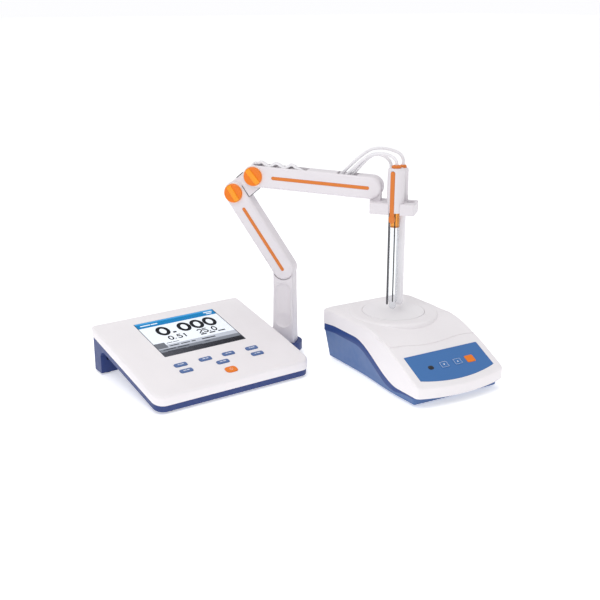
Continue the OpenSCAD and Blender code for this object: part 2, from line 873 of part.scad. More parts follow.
module ref_cap() {
    color(white) arm_plane() at_probe(ref_at) difference() {
        translate([0, 0, cap_bottom]) cylinder(r = ref_cap_r, h = ref_cap_top - cap_bottom);
        translate([0, 0, cap_bottom - eps]) cylinder(r = shaft_r, h = 50);
        translate([0, 0, cap_bottom - eps]) cylinder(r = 2.5, h = 80);
        translate([ref_cap_r - 1, -3.5, cap_bottom + 20]) cube([3, 7, 33]);
    }
}

module ref_collar() {
    color(orange) arm_plane() at_probe(ref_at) difference() {
        translate([0, 0, ref_cap_top]) cylinder(r = ref_collar_r, h = collar_h);
        translate([0, 0, ref_cap_top - eps]) cylinder(r = 2.5, h = 2 * collar_h);
    }
}

module ref_shaft() {
    color("gainsboro") arm_plane() at_probe(ref_at) {
        translate([0, 0, tip_z + 2]) cylinder(r = shaft_r, h = 183);
        translate([0, 0, tip_z]) cylinder(r = 4, h = 3);
    }
}

module temp_rod() {
    color(steel) arm_plane() at_probe(temp_at) {
        translate([0, 0, tip_z + temp_r]) cylinder(r = temp_r, h = 170);
        translate([0, 0, tip_z + temp_r]) sphere(r = temp_r);
    }
}

module temp_handle() {
    color(cable_grey) arm_plane() at_probe(temp_at) difference() {
        translate([0, 0, holder_top + face_gap + 6]) cylinder(r = 3, h = 36);
        translate([0, 0, holder_top]) cylinder(r = temp_r, h = tip_z + temp_r + 170 - holder_top);
    }
}

// ===== cables in the arm =======================================================================

module cable_lower() {
    color(cable_grey) arm_plane() bar_frame(p_post, lower_angle)
        slab(-7, 7) translate([26, 7.5]) square([lower_l - 56, 4.5]);
}

module cable_upper() {
    color(cable_grey) arm_plane() bar_frame(p_elbow_high, upper_angle)
        slab(-7, 7) translate([30, 7.5]) square([upper_l - 75, 4.5]);
}

// Bundle that arches from above the electrodes down to the upper arm
module cable_arc() {
    color(cable_grey) arm_plane() translate([118, 0, 288]) rotate([90, 0, 0]) rotate([0, 0, 20])
        rotate_extrude(angle = 140) translate([16, 0]) circle(4);
}

// ===== stirrer ===================================================================================

module stirrer_frame() {
    translate([st_at[0], st_at[1], 0]) rotate([0, 0, st_turn]) children();
}

module on_panel() {
    stirrer_frame() translate([0, st_panel_top[0], st_panel_top[1]])
        rotate([panel_tilt, 0, 0]) children();
}

function smooth(t) = t <= 0 ? 0 : t >= 1 ? 1 : t * t * (3 - 2 * t);

// Height of the line where the stirrer's white top meets its blue base
function seam_z(y) = 15.3 + 42 * smooth((y + 76) / 105) - 3 * smooth((y - 75) / 36)
    - 0.45 * max(-118 - y, 0);

// Points of the seam from front to back, lowered by drop
function seam_points(front, back, drop) = [
    for (i = [0 : seam_parts]) let (y = front + (back - front) * i / seam_parts)
        [y, seam_z(y) - drop]
];

// Plan outline from a front edge backwards, drawn in by inset
module stirrer_plan(front, inset) {
    rounded_plan(st_w - 2 * inset, front + inset, st_back - inset,
        max(st_corner[0] - inset, 1), max(st_corner[1] - inset, 1));
}

// Plan outline of the white top, with the front edge bowed
module top_plan(inset) {
    intersection() {
        stirrer_plan(st_front, inset);
        translate([0, st_front + inset + bow_r]) circle(bow_r, $fn = 360);
    }
}

module stirrer_top_profile(t) {
    polygon(concat(
        [
            [st_back - t, st_h - 3 - t],
            [st_back - 20, st_h - t],
            [-8, st_h - 0.5 - t],
            [st_seam[0], st_seam[1] - t],
            [st_panel_top[0], st_panel_top[1] - 1.1 * t],
            [st_panel_bottom[0], st_panel_bottom[1] - 1.2 * t],
            [st_lip[0] + t, st_lip[1] - 1.2 * t]
        ],
        seam_points(st_front + t, st_back - t, eps * sign(t))
    ));
}

module stirrer_top() {
    color(white) difference() {
        stirrer_frame() difference() {
            union() {
                intersection() {
                    across(st_w) stirrer_top_profile(0);
                    linear_extrude(2 * st_h) top_plan(0);
                }
                translate([0, plate_y, st_h - 2]) cylinder(r = 64, h = 3);
            }
            intersection() {
                across(st_w) stirrer_top_profile(wall);
                linear_extrude(2 * st_h) top_plan(wall);
            }
            translate([0, plate_y, st_h - 1]) cylinder(r = plate_r + 0.2, h = 5);
        }
        on_panel() translate([0, 0, -panel_t]) linear_extrude(3) panel_outline(0.1);
        on_panel() for (i = [0 : 2]) translate([st_key_x[i], st_key_y, -8])
            linear_extrude(10) key_square(1 + st_key_grow[i]);
        on_panel() translate([-33.5, st_key_y, -8]) cylinder(r = 3, h = 10);
    }
}

module panel_outline(grow) {
    intersection() {
        translate([-panel_w / 2 - grow, -panel_l - grow]) square([panel_w + 2 * grow, panel_l + 2 * grow]);
        translate([0, panel_bow - panel_l]) circle(panel_bow + grow, $fn = 360);
    }
}

module key_square(grow) {
    rounded_plan(13 + 2 * grow, -5.5 - grow, 5.5 + grow, 1.5, 1.5);
}

module stirrer_panel() {
    color(blue) on_panel() difference() {
        translate([0, 0, -panel_t]) linear_extrude(panel_t) panel_outline(0);
        for (i = [0 : 2]) translate([st_key_x[i], st_key_y, -5])
            linear_extrude(10) key_square(0.2 + st_key_grow[i]);
    }
}

module stirrer_key(i) {
    on_panel() translate([st_key_x[i], st_key_y, -panel_t - 2]) linear_extrude(panel_t + 2.6)
        key_square(st_key_grow[i]);
}

module stirrer_key_down() { color(blue) stirrer_key(0); }
module stirrer_key_up() { color(blue) stirrer_key(1); }
module stirrer_key_power() { color(orange) stirrer_key(2); }

module stirrer_base_profile(t, drop) {
    polygon(concat(
        [[st_back, st_foot_z + t], [st_front, st_foot_z + t]],
        seam_points(st_front, st_back, drop)
    ));
}

module stirrer_base() {
    color(blue) stirrer_frame() difference() {
        union() {
            intersection() {
                across(st_w) stirrer_base_profile(0, 0);
                linear_extrude(2 * st_h) stirrer_plan(base_front, 5);
            }
            intersection() {
                difference() {
                    across(st_w) stirrer_base_profile(0, 0);
                    across(st_w + 2) stirrer_base_profile(-20, st_step);
                }
                linear_extrude(2 * st_h) stirrer_plan(base_front, 1);
            }
        }
        intersection() {
            across(st_w) stirrer_base_profile(wall, -st_h);
            linear_extrude(2 * st_h) stirrer_plan(base_front, 5 + wall);
        }
        for (x = [-44, 44], y = [-88, 72]) translate([x, y, 0]) cylinder(r = feet_r, h = st_foot_z + 1);
    }
}

module stirrer_plate() {
    color("white") stirrer_frame() translate([0, plate_y, st_h - 0.9])
        cylinder(r = plate_r, h = 2.4);
}

// Motor can on the base's floor with a bearing bore for the rotor's shaft
module stirrer_motor() {
    color("dimgray") stirrer_frame() translate([0, plate_y, 0]) difference() {
        union() {
            translate([0, 0, st_foot_z + wall]) cylinder(r = 30, h = 3);
            translate([0, 0, st_foot_z + wall + 3]) cylinder(r = 21, h = 40);
            translate([0, 0, st_foot_z + wall + 43]) cylinder(r = 7, h = 4);
        }
        translate([0, 0, 20]) cylinder(r = 2 + run_gap, h = 60);
    }
}

// Magnet carrier on the motor's shaft
module stirrer_rotor() {
    color(steel) stirrer_frame() translate([0, plate_y, 0]) difference() {
        union() {
            translate([0, 0, 22]) cylinder(r = 2, h = 40);
            translate([0, 0, 60]) cylinder(r = 26, h = 6);
        }
        for (side = [-1, 1]) translate([side * 18, 0, 62]) cylinder(r = 6, h = 10);
    }
}

module stirrer_magnets() {
    color("dimgray") stirrer_frame() for (side = [-1, 1])
        translate([side * 18, plate_y, 62]) cylinder(r = 6, h = 8);
}

module stirrer_board() {
    color("darkgreen") on_panel() {
        translate([-48, -36, -12]) cube([96, 30, 1.6]);
        translate([-40, -14, -13.9]) cube([12, 7, 2]);
        for (x = st_key_x) translate([x, st_key_y, -10.5]) cylinder(r = 3, h = 6);
    }
}

module stirrer_feet() {
    color("dimgray") stirrer_frame() for (x = [-44, 44], y = [-88, 72])
        translate([x, y, 0]) cylinder(r = feet_r - 0.1, h = st_foot_z + 1);
}

case_top();
case_bottom();
display_window();
lcd_panel();
main_board();
key_mat();
console_feet();
console_screws();
rear_sockets();
cable_tail();
arm_bracket();
swivel_bush();
key_menu();
key_mode();
key_cal();
key_read();
key_store();
key_print();
key_enter();
key_power();
post();
swivel_bolt();
post_pin();
lower_arm();
lower_stripe();
cable_lower();
lower_rod();
elbow_link();
elbow_bolts();
upper_arm();
upper_stripe();
cable_upper();
upper_rod();
knob_lower();
knob_upper();
holder();
wrist_pin();
cable_arc();
ph_cap();
ph_collar();
fill_slider();
ph_shaft();
ph_sleeve();
ref_cap();
ref_collar();
ref_shaft();
temp_rod();
temp_handle();
stirrer_base();
stirrer_top();
stirrer_plate();
stirrer_panel();
stirrer_key_down();
stirrer_key_up();
stirrer_key_power();
stirrer_motor();
stirrer_rotor();
stirrer_magnets();
stirrer_board();
stirrer_feet();
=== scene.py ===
"""Looks of a bench pH meter set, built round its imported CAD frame.

The world is in metres. Shapes are drawn in millimetres in local frames, whose matrices also turn
millimetres into metres.
"""
import json
import math

import bmesh
import bpy
from mathutils import Matrix, Vector


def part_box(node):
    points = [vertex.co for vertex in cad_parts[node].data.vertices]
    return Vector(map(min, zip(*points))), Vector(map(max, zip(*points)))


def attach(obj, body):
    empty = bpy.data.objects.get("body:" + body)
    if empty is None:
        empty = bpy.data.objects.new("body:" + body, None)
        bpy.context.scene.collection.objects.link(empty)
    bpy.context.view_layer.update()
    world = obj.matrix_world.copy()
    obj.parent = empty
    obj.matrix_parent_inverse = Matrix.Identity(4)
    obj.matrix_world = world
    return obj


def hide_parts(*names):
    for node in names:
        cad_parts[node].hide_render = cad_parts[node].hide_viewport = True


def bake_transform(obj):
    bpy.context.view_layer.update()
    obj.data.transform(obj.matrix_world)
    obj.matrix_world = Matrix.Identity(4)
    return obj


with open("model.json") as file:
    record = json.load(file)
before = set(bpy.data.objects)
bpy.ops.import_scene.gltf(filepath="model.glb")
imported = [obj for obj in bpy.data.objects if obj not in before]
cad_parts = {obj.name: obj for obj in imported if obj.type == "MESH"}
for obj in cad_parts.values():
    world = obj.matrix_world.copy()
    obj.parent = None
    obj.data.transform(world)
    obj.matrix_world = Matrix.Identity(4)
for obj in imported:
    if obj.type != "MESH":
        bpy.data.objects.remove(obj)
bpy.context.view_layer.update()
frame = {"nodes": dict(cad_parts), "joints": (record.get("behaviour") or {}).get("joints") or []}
NODES = frame["nodes"]
JOINTS = {joint["name"]: joint for joint in frame["joints"]}
MM = 0.001
UP = Vector((0, 0, 1))


# ----- places, worked out from the frame -----

def pivot(joint):
    return Vector(JOINTS[joint]["pos_m"])


def axis(joint):
    return Vector(JOINTS[joint]["axis"]).normalized()


def local_frame(origin, x_axis, y_axis):
    """Matrix from a local frame in millimetres to the world in metres."""
    x_axis = x_axis.normalized()
    z_axis = x_axis.cross(y_axis).normalized()
    y_axis = z_axis.cross(x_axis)
    turn = Matrix((x_axis, y_axis, z_axis)).transposed().to_4x4()
    return Matrix.Translation(origin) @ turn @ Matrix.Scale(MM, 4)


def shift(x=0, y=0, z=0):
    return Matrix.Translation((x, y, z))


def tilt(degrees, about="X"):
    return Matrix.Rotation(math.radians(degrees), 4, about)


def size_mm(node):
    low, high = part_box(node)
    return (high - low) / MM


def middle(node):
    low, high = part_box(node)
    return (low + high) / 2


ACROSS = axis("lower_arm_lift")               # from the front of the arm to its back
REACH = ACROSS.cross(UP)                      # from the post towards the holder
POST_PIVOT = pivot("lower_arm_lift")
ELBOW_LOW = pivot("elbow_level")
ELBOW_HIGH = pivot("upper_arm_lift")
WRIST = pivot("holder_level")


def bar_frame(start, end):
    """Frame of an arm: x along it, z towards the front of the arm."""
    along = end - start
    return local_frame(start, along, (-ACROSS).cross(along))


ARM = local_frame(Vector((0, 0, 0)), REACH, ACROSS)
LOWER = bar_frame(POST_PIVOT, ELBOW_LOW)
UPPER = bar_frame(ELBOW_HIGH, WRIST)
LINK = bar_frame(ELBOW_LOW, ELBOW_HIGH)
POST = local_frame(Vector((0, 0, 0)), REACH, UP)
LOWER_L = (ELBOW_LOW - POST_PIVOT).length / MM
UPPER_L = (WRIST - ELBOW_HIGH).length / MM
LINK_L = (ELBOW_HIGH - ELBOW_LOW).length / MM
POST_H = POST_PIVOT.z / MM

# Console
CASE_W, CASE_D, CASE_H = size_mm("case_top").x, size_mm("case_top").y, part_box("case_top")[1].z / MM
CONSOLE = local_frame(Vector((middle("case_top").x, 0, 0)), Vector((1, 0, 0)), Vector((0, 1, 0)))
FRONT, REAR = -CASE_D / 2, CASE_D / 2
FRONT_TOP = 25
BAND_H = 13
WALL = 2.5
KEY_NORMAL = -axis("press_menu")
KEY_TILT = math.degrees(math.atan2(-KEY_NORMAL.y, KEY_NORMAL.z))
CREASE_Y = FRONT + 66
CREASE_Z = FRONT_TOP + 66 * math.tan(math.radians(KEY_TILT))
DISPLAY_TILT = math.degrees(math.atan2(CASE_H - CREASE_Z, REAR - CREASE_Y))
CREASE_SOFT = 4
CORNER_FRONT, CORNER_REAR = 15, 6
ON_KEYS = CONSOLE @ shift(0, CREASE_Y, CREASE_Z) @ tilt(KEY_TILT)
ON_DISPLAY = CONSOLE @ shift(0, CREASE_Y, CREASE_Z) @ tilt(DISPLAY_TILT)
WINDOW_W, WINDOW_L, WINDOW_Y = 130, 98, 17
KEY_PROUD = 1.2
MARK_Z = KEY_PROUD - 0.1
SOCKET_X, JACK_X = (70, 45, 20, -5), -60
PLUG_BEND = 13.5
TAIL_X, TAIL_Y, TAIL_Z = 151, REAR - 24, 14
CABLE_R = 2.3
LEAD_GAP, TAIL_GAP = 4.6, 5.2                # between leads on the arm and behind the console
LEAD_DROP = 0.3

# Stirrer
PLATE_Y = 37
ST_NORMAL = -axis("press_stirrer_down")
ST_TURN = math.degrees(math.atan2(ST_NORMAL.x, -ST_NORMAL.y))
ST_X = tilt(ST_TURN, "Z") @ Vector((1, 0, 0))
ST_Y = tilt(ST_TURN, "Z") @ Vector((0, 1, 0))
PLATE_AT = Vector((middle("stirrer_plate").x, middle("stirrer_plate").y, 0))
STIRRER = local_frame(PLATE_AT - ST_Y * PLATE_Y * MM, ST_X, ST_Y)
PLATE_R = size_mm("stirrer_plate").x / 2
ST_W, ST_FRONT, ST_BACK = 149, -125.5, 111
PANEL_TILT = math.degrees(math.acos(ST_NORMAL.z))
PANEL_TOP = (-72.2, 55.7)
PANEL_W, PANEL_L = 124, 51.9
PANEL_BOW = 215
BOW_R = 360
BACK_CORNER = 5
ON_PANEL = STIRRER @ shift(0, *PANEL_TOP) @ tilt(PANEL_TILT)


# ----- outlines: points with outward normals, counter-clockwise -----

def arc(x, y, radius, start, end, steps=8):
    points = []
    for i in range(steps + 1):
        angle = math.radians(start + (end - start) * i / steps)
        normal = Vector((math.cos(angle), math.sin(angle)))
        points.append((Vector((x, y)) + normal * radius, normal))
    return points


def circle(radius, x=0, y=0, steps=64):
    return arc(x, y, radius, 0, 360 - 360 / steps, steps - 1)


def capsule(x0, x1, radius, steps=16):
    return arc(x1, 0, radius, -90, 90, steps) + arc(x0, 0, radius, 90, 270, steps)


def rounded_box(x0, x1, y0, y1, r_front, r_rear=None, rows=()):
    """Rounded rectangle from its front left corner round; rows adds points on both long sides."""
    r_rear = r_front if r_rear is None else r_rear
    right = [(Vector((x1, y)), Vector((1, 0))) for y in rows]
    left = [(Vector((x0, y)), Vector((-1, 0))) for y in reversed(rows)]
    return (arc(x0 + r_front, y0 + r_front, r_front, 180, 270)
            + arc(x1 - r_front, y0 + r_front, r_front, 270, 360) + right
            + arc(x1 - r_rear, y1 - r_rear, r_rear, 0, 90)
            + arc(x0 + r_rear, y1 - r_rear, r_rear, 90, 180) + left)


def edged(low, high, r_low, r_high, steps=4):
    """Profile of a slab, as pairs of inset and height, with its two edges rounded."""
    profile = []
    for i in range(steps + 1):
        t = math.radians(90 * i / steps)
        profile.append((r_low * (1 - math.sin(t)), low + r_low * (1 - math.cos(t))))
    for i in range(steps + 1):
        t = math.radians(90 * i / steps)
        profile.append((r_high * (1 - math.cos(t)), high - r_high * (1 - math.sin(t))))
    return profile


# ----- meshes -----

SHARP_FROM = 32
TUBE_SIDES = 14
PER_SPAN = 8

def smooth(obj):
    mesh = obj.data
    mesh.polygons.foreach_set("use_smooth", [True] * len(mesh.polygons))
    mesh.set_sharp_from_angle(angle=math.radians(SHARP_FROM))
    mesh.update()


def make(name, vertices, faces, material=None):
    mesh = bpy.data.meshes.new(name)
    mesh.from_pydata([tuple(v) for v in vertices], [], faces)
    mesh.validate()
    if material:
        mesh.materials.append(material)
    obj = bpy.data.objects.new(name, mesh)
    bpy.context.scene.collection.objects.link(obj)
    smooth(obj)
    return obj


def ring_faces(rings, count):
    faces = []
    for r in range(rings - 1):
        for i in range(count):
            j = (i + 1) % count
            faces.append((r * count + i, r * count + j, (r + 1) * count + j, (r + 1) * count + i))
    return faces


def closed_rings(rings, count):
    """Faces of a solid of rings, with its first and last ring closed."""
    end = (rings - 1) * count
    caps = [tuple(reversed(range(count))), tuple(range(end, end + count))]
    return ring_faces(rings, count) + caps


def stack(name, outline, profile, place, material=None):
    """Closed solid of an outline carried through a profile of insets and heights."""
    count = len(outline)
    vertices = []
    for inset, height in profile:
        for point, normal in outline:
            vertices.append(place @ Vector((*(point - normal * inset), height)))
    return make(name, vertices, closed_rings(len(profile), count), material)


def turned(name, profile, place, material=None, steps=48):
    """Solid of revolution about the local z axis; profile holds radii and heights."""
    return stack(name, circle(0, steps=steps), [(-r, z) for r, z in profile], place, material)


def cutter(outline, low, high, place):
    return stack("cutter", outline, [(0, low), (0, high)], place)


def sharp(*points):
    """Outline that keeps its size at every inset."""
    return [(Vector(point), Vector((0, 0))) for point in points]


def block(x0, x1, y0, y1, z0, z1, place):
    """Plain cutter box."""
    return cutter(sharp((x0, y0), (x1, y0), (x1, y1), (x0, y1)), z0, z1, place)


def spline(points, per_span=PER_SPAN):
    """Smooth curve through the points."""
    points = [Vector(p) for p in points]
    ends = [2 * points[0] - points[1]] + points + [2 * points[-1] - points[-2]]
    curve = []
    for a, b, c, d in zip(ends, ends[1:], ends[2:], ends[3:]):
        for i in range(per_span):
            t = i / per_span
            curve.append(0.5 * (2 * b + (c - a) * t + (2 * a - 5 * b + 4 * c - d) * t * t
                    + (3 * b - a - 3 * c + d) * t ** 3))
    return curve + [points[-1]]


def tube_parts(points, radius, first):
    """Vertices and faces of a round tube with domed ends along world points."""
    tangents = [(b - a).normalized() for a, b in zip(points, points[1:])]
    tangents = [tangents[0]] + tangents
    side = tangents[0].orthogonal().normalized()
    stations = [(points[0] - tangents[0] * radius * 0.6, radius * 0.5, tangents[0])]
    stations += [(p, radius, t) for p, t in zip(points, tangents)]
    stations.append((points[-1] + tangents[-1] * radius * 0.6, radius * 0.5, tangents[-1]))
    vertices = []
    for point, r, tangent in stations:
        side = (side - tangent * side.dot(tangent)).normalized()
        other = tangent.cross(side)
        for i in range(TUBE_SIDES):
            angle = 2 * math.pi * i / TUBE_SIDES
            vertices.append(point + side * (r * math.cos(angle)) + other * (r * math.sin(angle)))
    faces = closed_rings(len(stations), TUBE_SIDES)
    return vertices, [tuple(i + first for i in face) for face in faces]


def tubes(name, curves, radius, material):
    """One piece of several tubes; curves are in world metres, the radius in millimetres."""
    vertices, faces = [], []
    for curve in curves:
        more, more_faces = tube_parts(curve, radius * MM, len(vertices))
        vertices += more
        faces += more_faces
    return make(name, vertices, faces, material)


def bake(obj):
    """Turns an object's modifiers into its mesh."""
    graph = bpy.context.evaluated_depsgraph_get()
    mesh = bpy.data.meshes.new_from_object(obj.evaluated_get(graph))
    obj.modifiers.clear()
    obj.data = mesh
    smooth(obj)
    return obj


def combine(obj, others, operation):
    for other in others:
        modifier = obj.modifiers.new("combine", "BOOLEAN")
        modifier.operation = operation
        modifier.solver = "EXACT"
        modifier.object = other
        bake(obj)
        bpy.data.objects.remove(other)
    return obj


def cut(obj, *cutters):
    return combine(obj, cutters, "DIFFERENCE")


def weld(obj, *others):
    return combine(obj, others, "UNION")


def soften(obj, width=0.4, segments=2, angle=40):
    """Rounds the sharp edges that cuts leave."""
    bevel = obj.modifiers.new("soften", "BEVEL")
    bevel.width = width * MM
    bevel.segments = segments
    bevel.limit_method = "ANGLE"
    bevel.angle_limit = math.radians(angle)
    bevel.miter_outer = "MITER_ARC"
    obj.modifiers.new("normals", "WEIGHTED_NORMAL").keep_sharp = True
    return obj


def piece(obj, body, slot, *nodes):
    """obj is a finished piece: it rides on body and stands for nodes."""
    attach(obj, body)
    if nodes:
        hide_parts(*nodes)
    return obj


def dress(node, material, width=0.3):
    """Gives a CAD node its material and rounded edges."""
    obj = NODES[node]
    obj.data.materials.clear()
    obj.data.materials.append(material)
    join = obj.modifiers.new("join", "WELD")
    join.merge_threshold = 1e-6
    flat = obj.modifiers.new("flat", "DECIMATE")
    flat.decimate_type = "DISSOLVE"
    flat.angle_limit = math.radians(0.5)
    soften(obj, width)
    return obj


# ----- materials -----

def srgb(red, green, blue):
    def linear(value):
        value /= 255
        return value / 12.92 if value <= 0.04045 else ((value + 0.055) / 1.055) ** 2.4
    return (linear(red), linear(green), linear(blue), 1)


def new_material(name):
    material = bpy.data.materials.new(name)
    material.use_nodes = True
    tree = material.node_tree
    return material, tree, tree.nodes["Principled BSDF"]


def set_inputs(node, inputs):
    """Gives a shader node's inputs their values, or links them to other nodes' outputs."""
    for key, value in inputs.items():
        if isinstance(value, bpy.types.NodeSocket):
            node.id_data.links.new(value, node.inputs[key])
        else:
            node.inputs[key].default_value = value


def add_node(tree, kind, inputs=None, **settings):
    made = tree.nodes.new(kind)
    for key, value in settings.items():
        setattr(made, key, value)
    set_inputs(made, inputs or {})
    return made


def noise(tree, scale, detail, stretch=(1, 1, 1)):
    """Noise of so many grains per metre, in the world at rest."""
    place = add_node(tree, "ShaderNodeTexCoord").outputs["Object"]
    mapped = add_node(tree, "ShaderNodeMapping", {"Vector": place, "Scale": stretch})
    made = add_node(tree, "ShaderNodeTexNoise",
                    {"Vector": mapped.outputs["Vector"], "Scale": scale, "Detail": detail})
    return made.outputs["Fac"]


def ramp(tree, value, low, high):
    """Maps noise, which lies round a half, on to low to high."""
    made = add_node(tree, "ShaderNodeMapRange", {"Value": value, "From Min": 0.3, "From Max": 0.7,
            "To Min": low, "To Max": high})
    return made.outputs["Result"]


def tinted(tree, colour, value, spread):
    """Colour that drifts lighter and darker by spread as value changes."""
    shade = ramp(tree, value, 1 - spread, 1 + spread)
    made = add_node(tree, "ShaderNodeVectorMath", {0: colour[:3], 1: shade}, operation="MULTIPLY")
    return made.outputs["Vector"]


def relief(tree, height, strength):
    bump = add_node(tree, "ShaderNodeBump", {"Height": height, "Strength": strength, "Distance": 0.0001})
    return bump.outputs["Normal"]


def plastic(name, colour, roughness=0.4, grain=2200, bump=0.12, drift=0.02, coat=0.0):
    """Moulded plastic: fine spark grain, faint flow marks and uneven sheen."""
    material, tree, shader = new_material(name)
    cloudy = noise(tree, 14, 4)
    fine = noise(tree, grain, 2)
    sheen = noise(tree, 90, 5)
    set_inputs(shader, {
        "Base Color": tinted(tree, colour, cloudy, drift),
        "Roughness": ramp(tree, sheen, roughness - 0.06, roughness + 0.06),
        "Normal": relief(tree, fine, bump), "Coat Weight": coat, "Coat Roughness": 0.15, "IOR": 1.48})
    return material


def metal(name, colour, roughness=0.28):
    """Turned metal with fine tool marks."""
    material, tree, shader = new_material(name)
    marks = noise(tree, 500, 6, (1, 1, 12))
    set_inputs(shader, {
        "Base Color": tinted(tree, colour, marks, 0.08),
        "Roughness": ramp(tree, marks, roughness - 0.1, roughness + 0.12),
        "Normal": relief(tree, marks, 0.1), "Metallic": 1})
    return material


def see_through(name, colour, rim, gloss, edge_from=0.45, shine_from=0.3):
    """Clear wall: light passes straight through, tinted towards rim at its edges, under a shine."""
    material, tree, shader = new_material(name)
    smudge = noise(tree, 60, 4)
    set_inputs(shader, {"Roughness": ramp(tree, smudge, 0.04, 0.12),
            "Base Color": (0.9, 0.92, 0.95, 1), "Metallic": 1})
    facing = add_node(tree, "ShaderNodeLayerWeight", {"Blend": 0.5}).outputs["Facing"]
    edge = add_node(tree, "ShaderNodeMapRange",
                    {"Value": facing, "From Min": edge_from, "From Max": 0.97}).outputs["Result"]
    tint = add_node(tree, "ShaderNodeMixRGB", {"Fac": edge, "Color1": colour, "Color2": rim})
    through = add_node(tree, "ShaderNodeBsdfTransparent", {"Color": tint.outputs["Color"]})
    shine = add_node(tree, "ShaderNodeMapRange",
            {"Value": facing, "From Min": shine_from, "To Min": gloss, "To Max": 0.35 + gloss})
    mixed = add_node(tree, "ShaderNodeMixShader",
            {"Fac": shine.outputs["Result"], 1: through.outputs["BSDF"],
             2: shader.outputs["BSDF"]})
    set_inputs(tree.nodes["Material Output"], {"Surface": mixed.outputs["Shader"]})
    return material


WHITE = plastic("shell_white", srgb(243, 239, 241), 0.42)
ARM_WHITE = plastic("arm_white", srgb(228, 223, 227), 0.42)
BLUE = plastic("console_blue", srgb(34, 58, 120), 0.42)
# Two blues for the stirrer base's one blue plastic: the darker band is painted shade, the lighter lower
# body painted light from the floor.
BAND_BLUE_PAINTED_SHADE = plastic("stirrer_band_painted_shade_blue", srgb(14, 58, 128), 0.42)
BODY_BLUE_PAINTED_LIGHT = plastic("stirrer_body_painted_light_blue", srgb(70, 104, 158), 0.45)
KEY_BLUE = plastic("key_blue", srgb(82, 112, 166), 0.38, bump=0.06)
PANEL_BLUE = plastic("panel_blue", srgb(56, 112, 176), 0.34, grain=3500, bump=0.05, coat=0.2)
ORANGE = plastic("orange", srgb(240, 124, 6), 0.4)
INLAY = plastic("inlay_orange", srgb(220, 122, 42), 0.45)
# Lighter orange for the knob grips: a painted highlight.
GRIP_HIGHLIGHT = plastic("grip_orange_painted_highlight", srgb(248, 156, 18), 0.4)
PEACH = plastic("ring_white", srgb(250, 226, 208), 0.4)
MARK = plastic("printed_white", srgb(226, 232, 242), 0.5, bump=0.02)
BLACK = plastic("gloss_black", srgb(14, 18, 30), 0.35, bump=0.02, coat=0.1)
RUBBER = plastic("rubber", srgb(42, 43, 46), 0.75, grain=900, bump=0.3, drift=0.08)
SILICONE = plastic("silicone", srgb(140, 142, 148), 0.6, grain=900)
CABLE = plastic("cable_grey", srgb(234, 232, 235), 0.5, grain=1500, bump=0.15)
PLUG = plastic("plug_grey", srgb(96, 98, 104), 0.55, grain=1500)
DARK = plastic("dark_plastic", srgb(52, 54, 58), 0.5)
BOARD = plastic("board_green", srgb(20, 84, 52), 0.35, drift=0.15)
PLATE = plastic("plate_white", srgb(243, 240, 242), 0.5, bump=0.04)
SHAFT = plastic("shaft_grey", srgb(238, 236, 239), 0.22, bump=0.03)
STEEL = metal("steel", (0.55, 0.56, 0.58, 1))
PROBE_STEEL = metal("probe_steel", (0.12, 0.12, 0.13, 1), 0.35)
GOLD = metal("gold", (0.75, 0.6, 0.33, 1))
BRASS = metal("brass", (0.68, 0.5, 0.22, 1))
WIRE = plastic("silver_wire", srgb(34, 34, 38), 0.4)
WINDOW = see_through("window", (0.97, 0.98, 1, 1), (0.8, 0.84, 0.88, 1), 0.004, shine_from=0.7)
GLASS = see_through("glass", (0.93, 0.94, 0.95, 1), (0.5, 0.52, 0.55, 1), 0.03, edge_from=0.6)
AMBER = see_through("amber", srgb(250, 200, 110), srgb(150, 84, 14), 0.04)


# ----- console -----

def console_top(y):
    """Height of the console's top, with the crease between keys and display softened."""
    front = math.tan(math.radians(KEY_TILT))
    rear = math.tan(math.radians(DISPLAY_TILT))
    d = y - CREASE_Y
    if abs(d) >= CREASE_SOFT:
        return CREASE_Z + d * (front if d < 0 else rear)
    bend = (d * d + CREASE_SOFT ** 2) / (2 * CREASE_SOFT)
    return CREASE_Z + (front + rear) / 2 * d + (rear - front) / 2 * bend


def parting(y):
    """Height of the line where the console's two shells meet."""
    return FRONT_TOP - BAND_H + (y - FRONT) * (CASE_H - FRONT_TOP) / CASE_D


def split_cap(first, count, right, rows):
    """Faces that close a ring of a stack, split along rows across it."""
    ring = [first + i for i in range(count)]
    faces = [(ring[-1], *ring[:right + 1])]
    for k in range(rows - 1):
        faces.append((ring[count - 1 - k], ring[right + k], ring[right + k + 1], ring[count - 2 - k]))
    faces.append(tuple(ring[right + rows - 1:count - rows + 1]))
    return faces


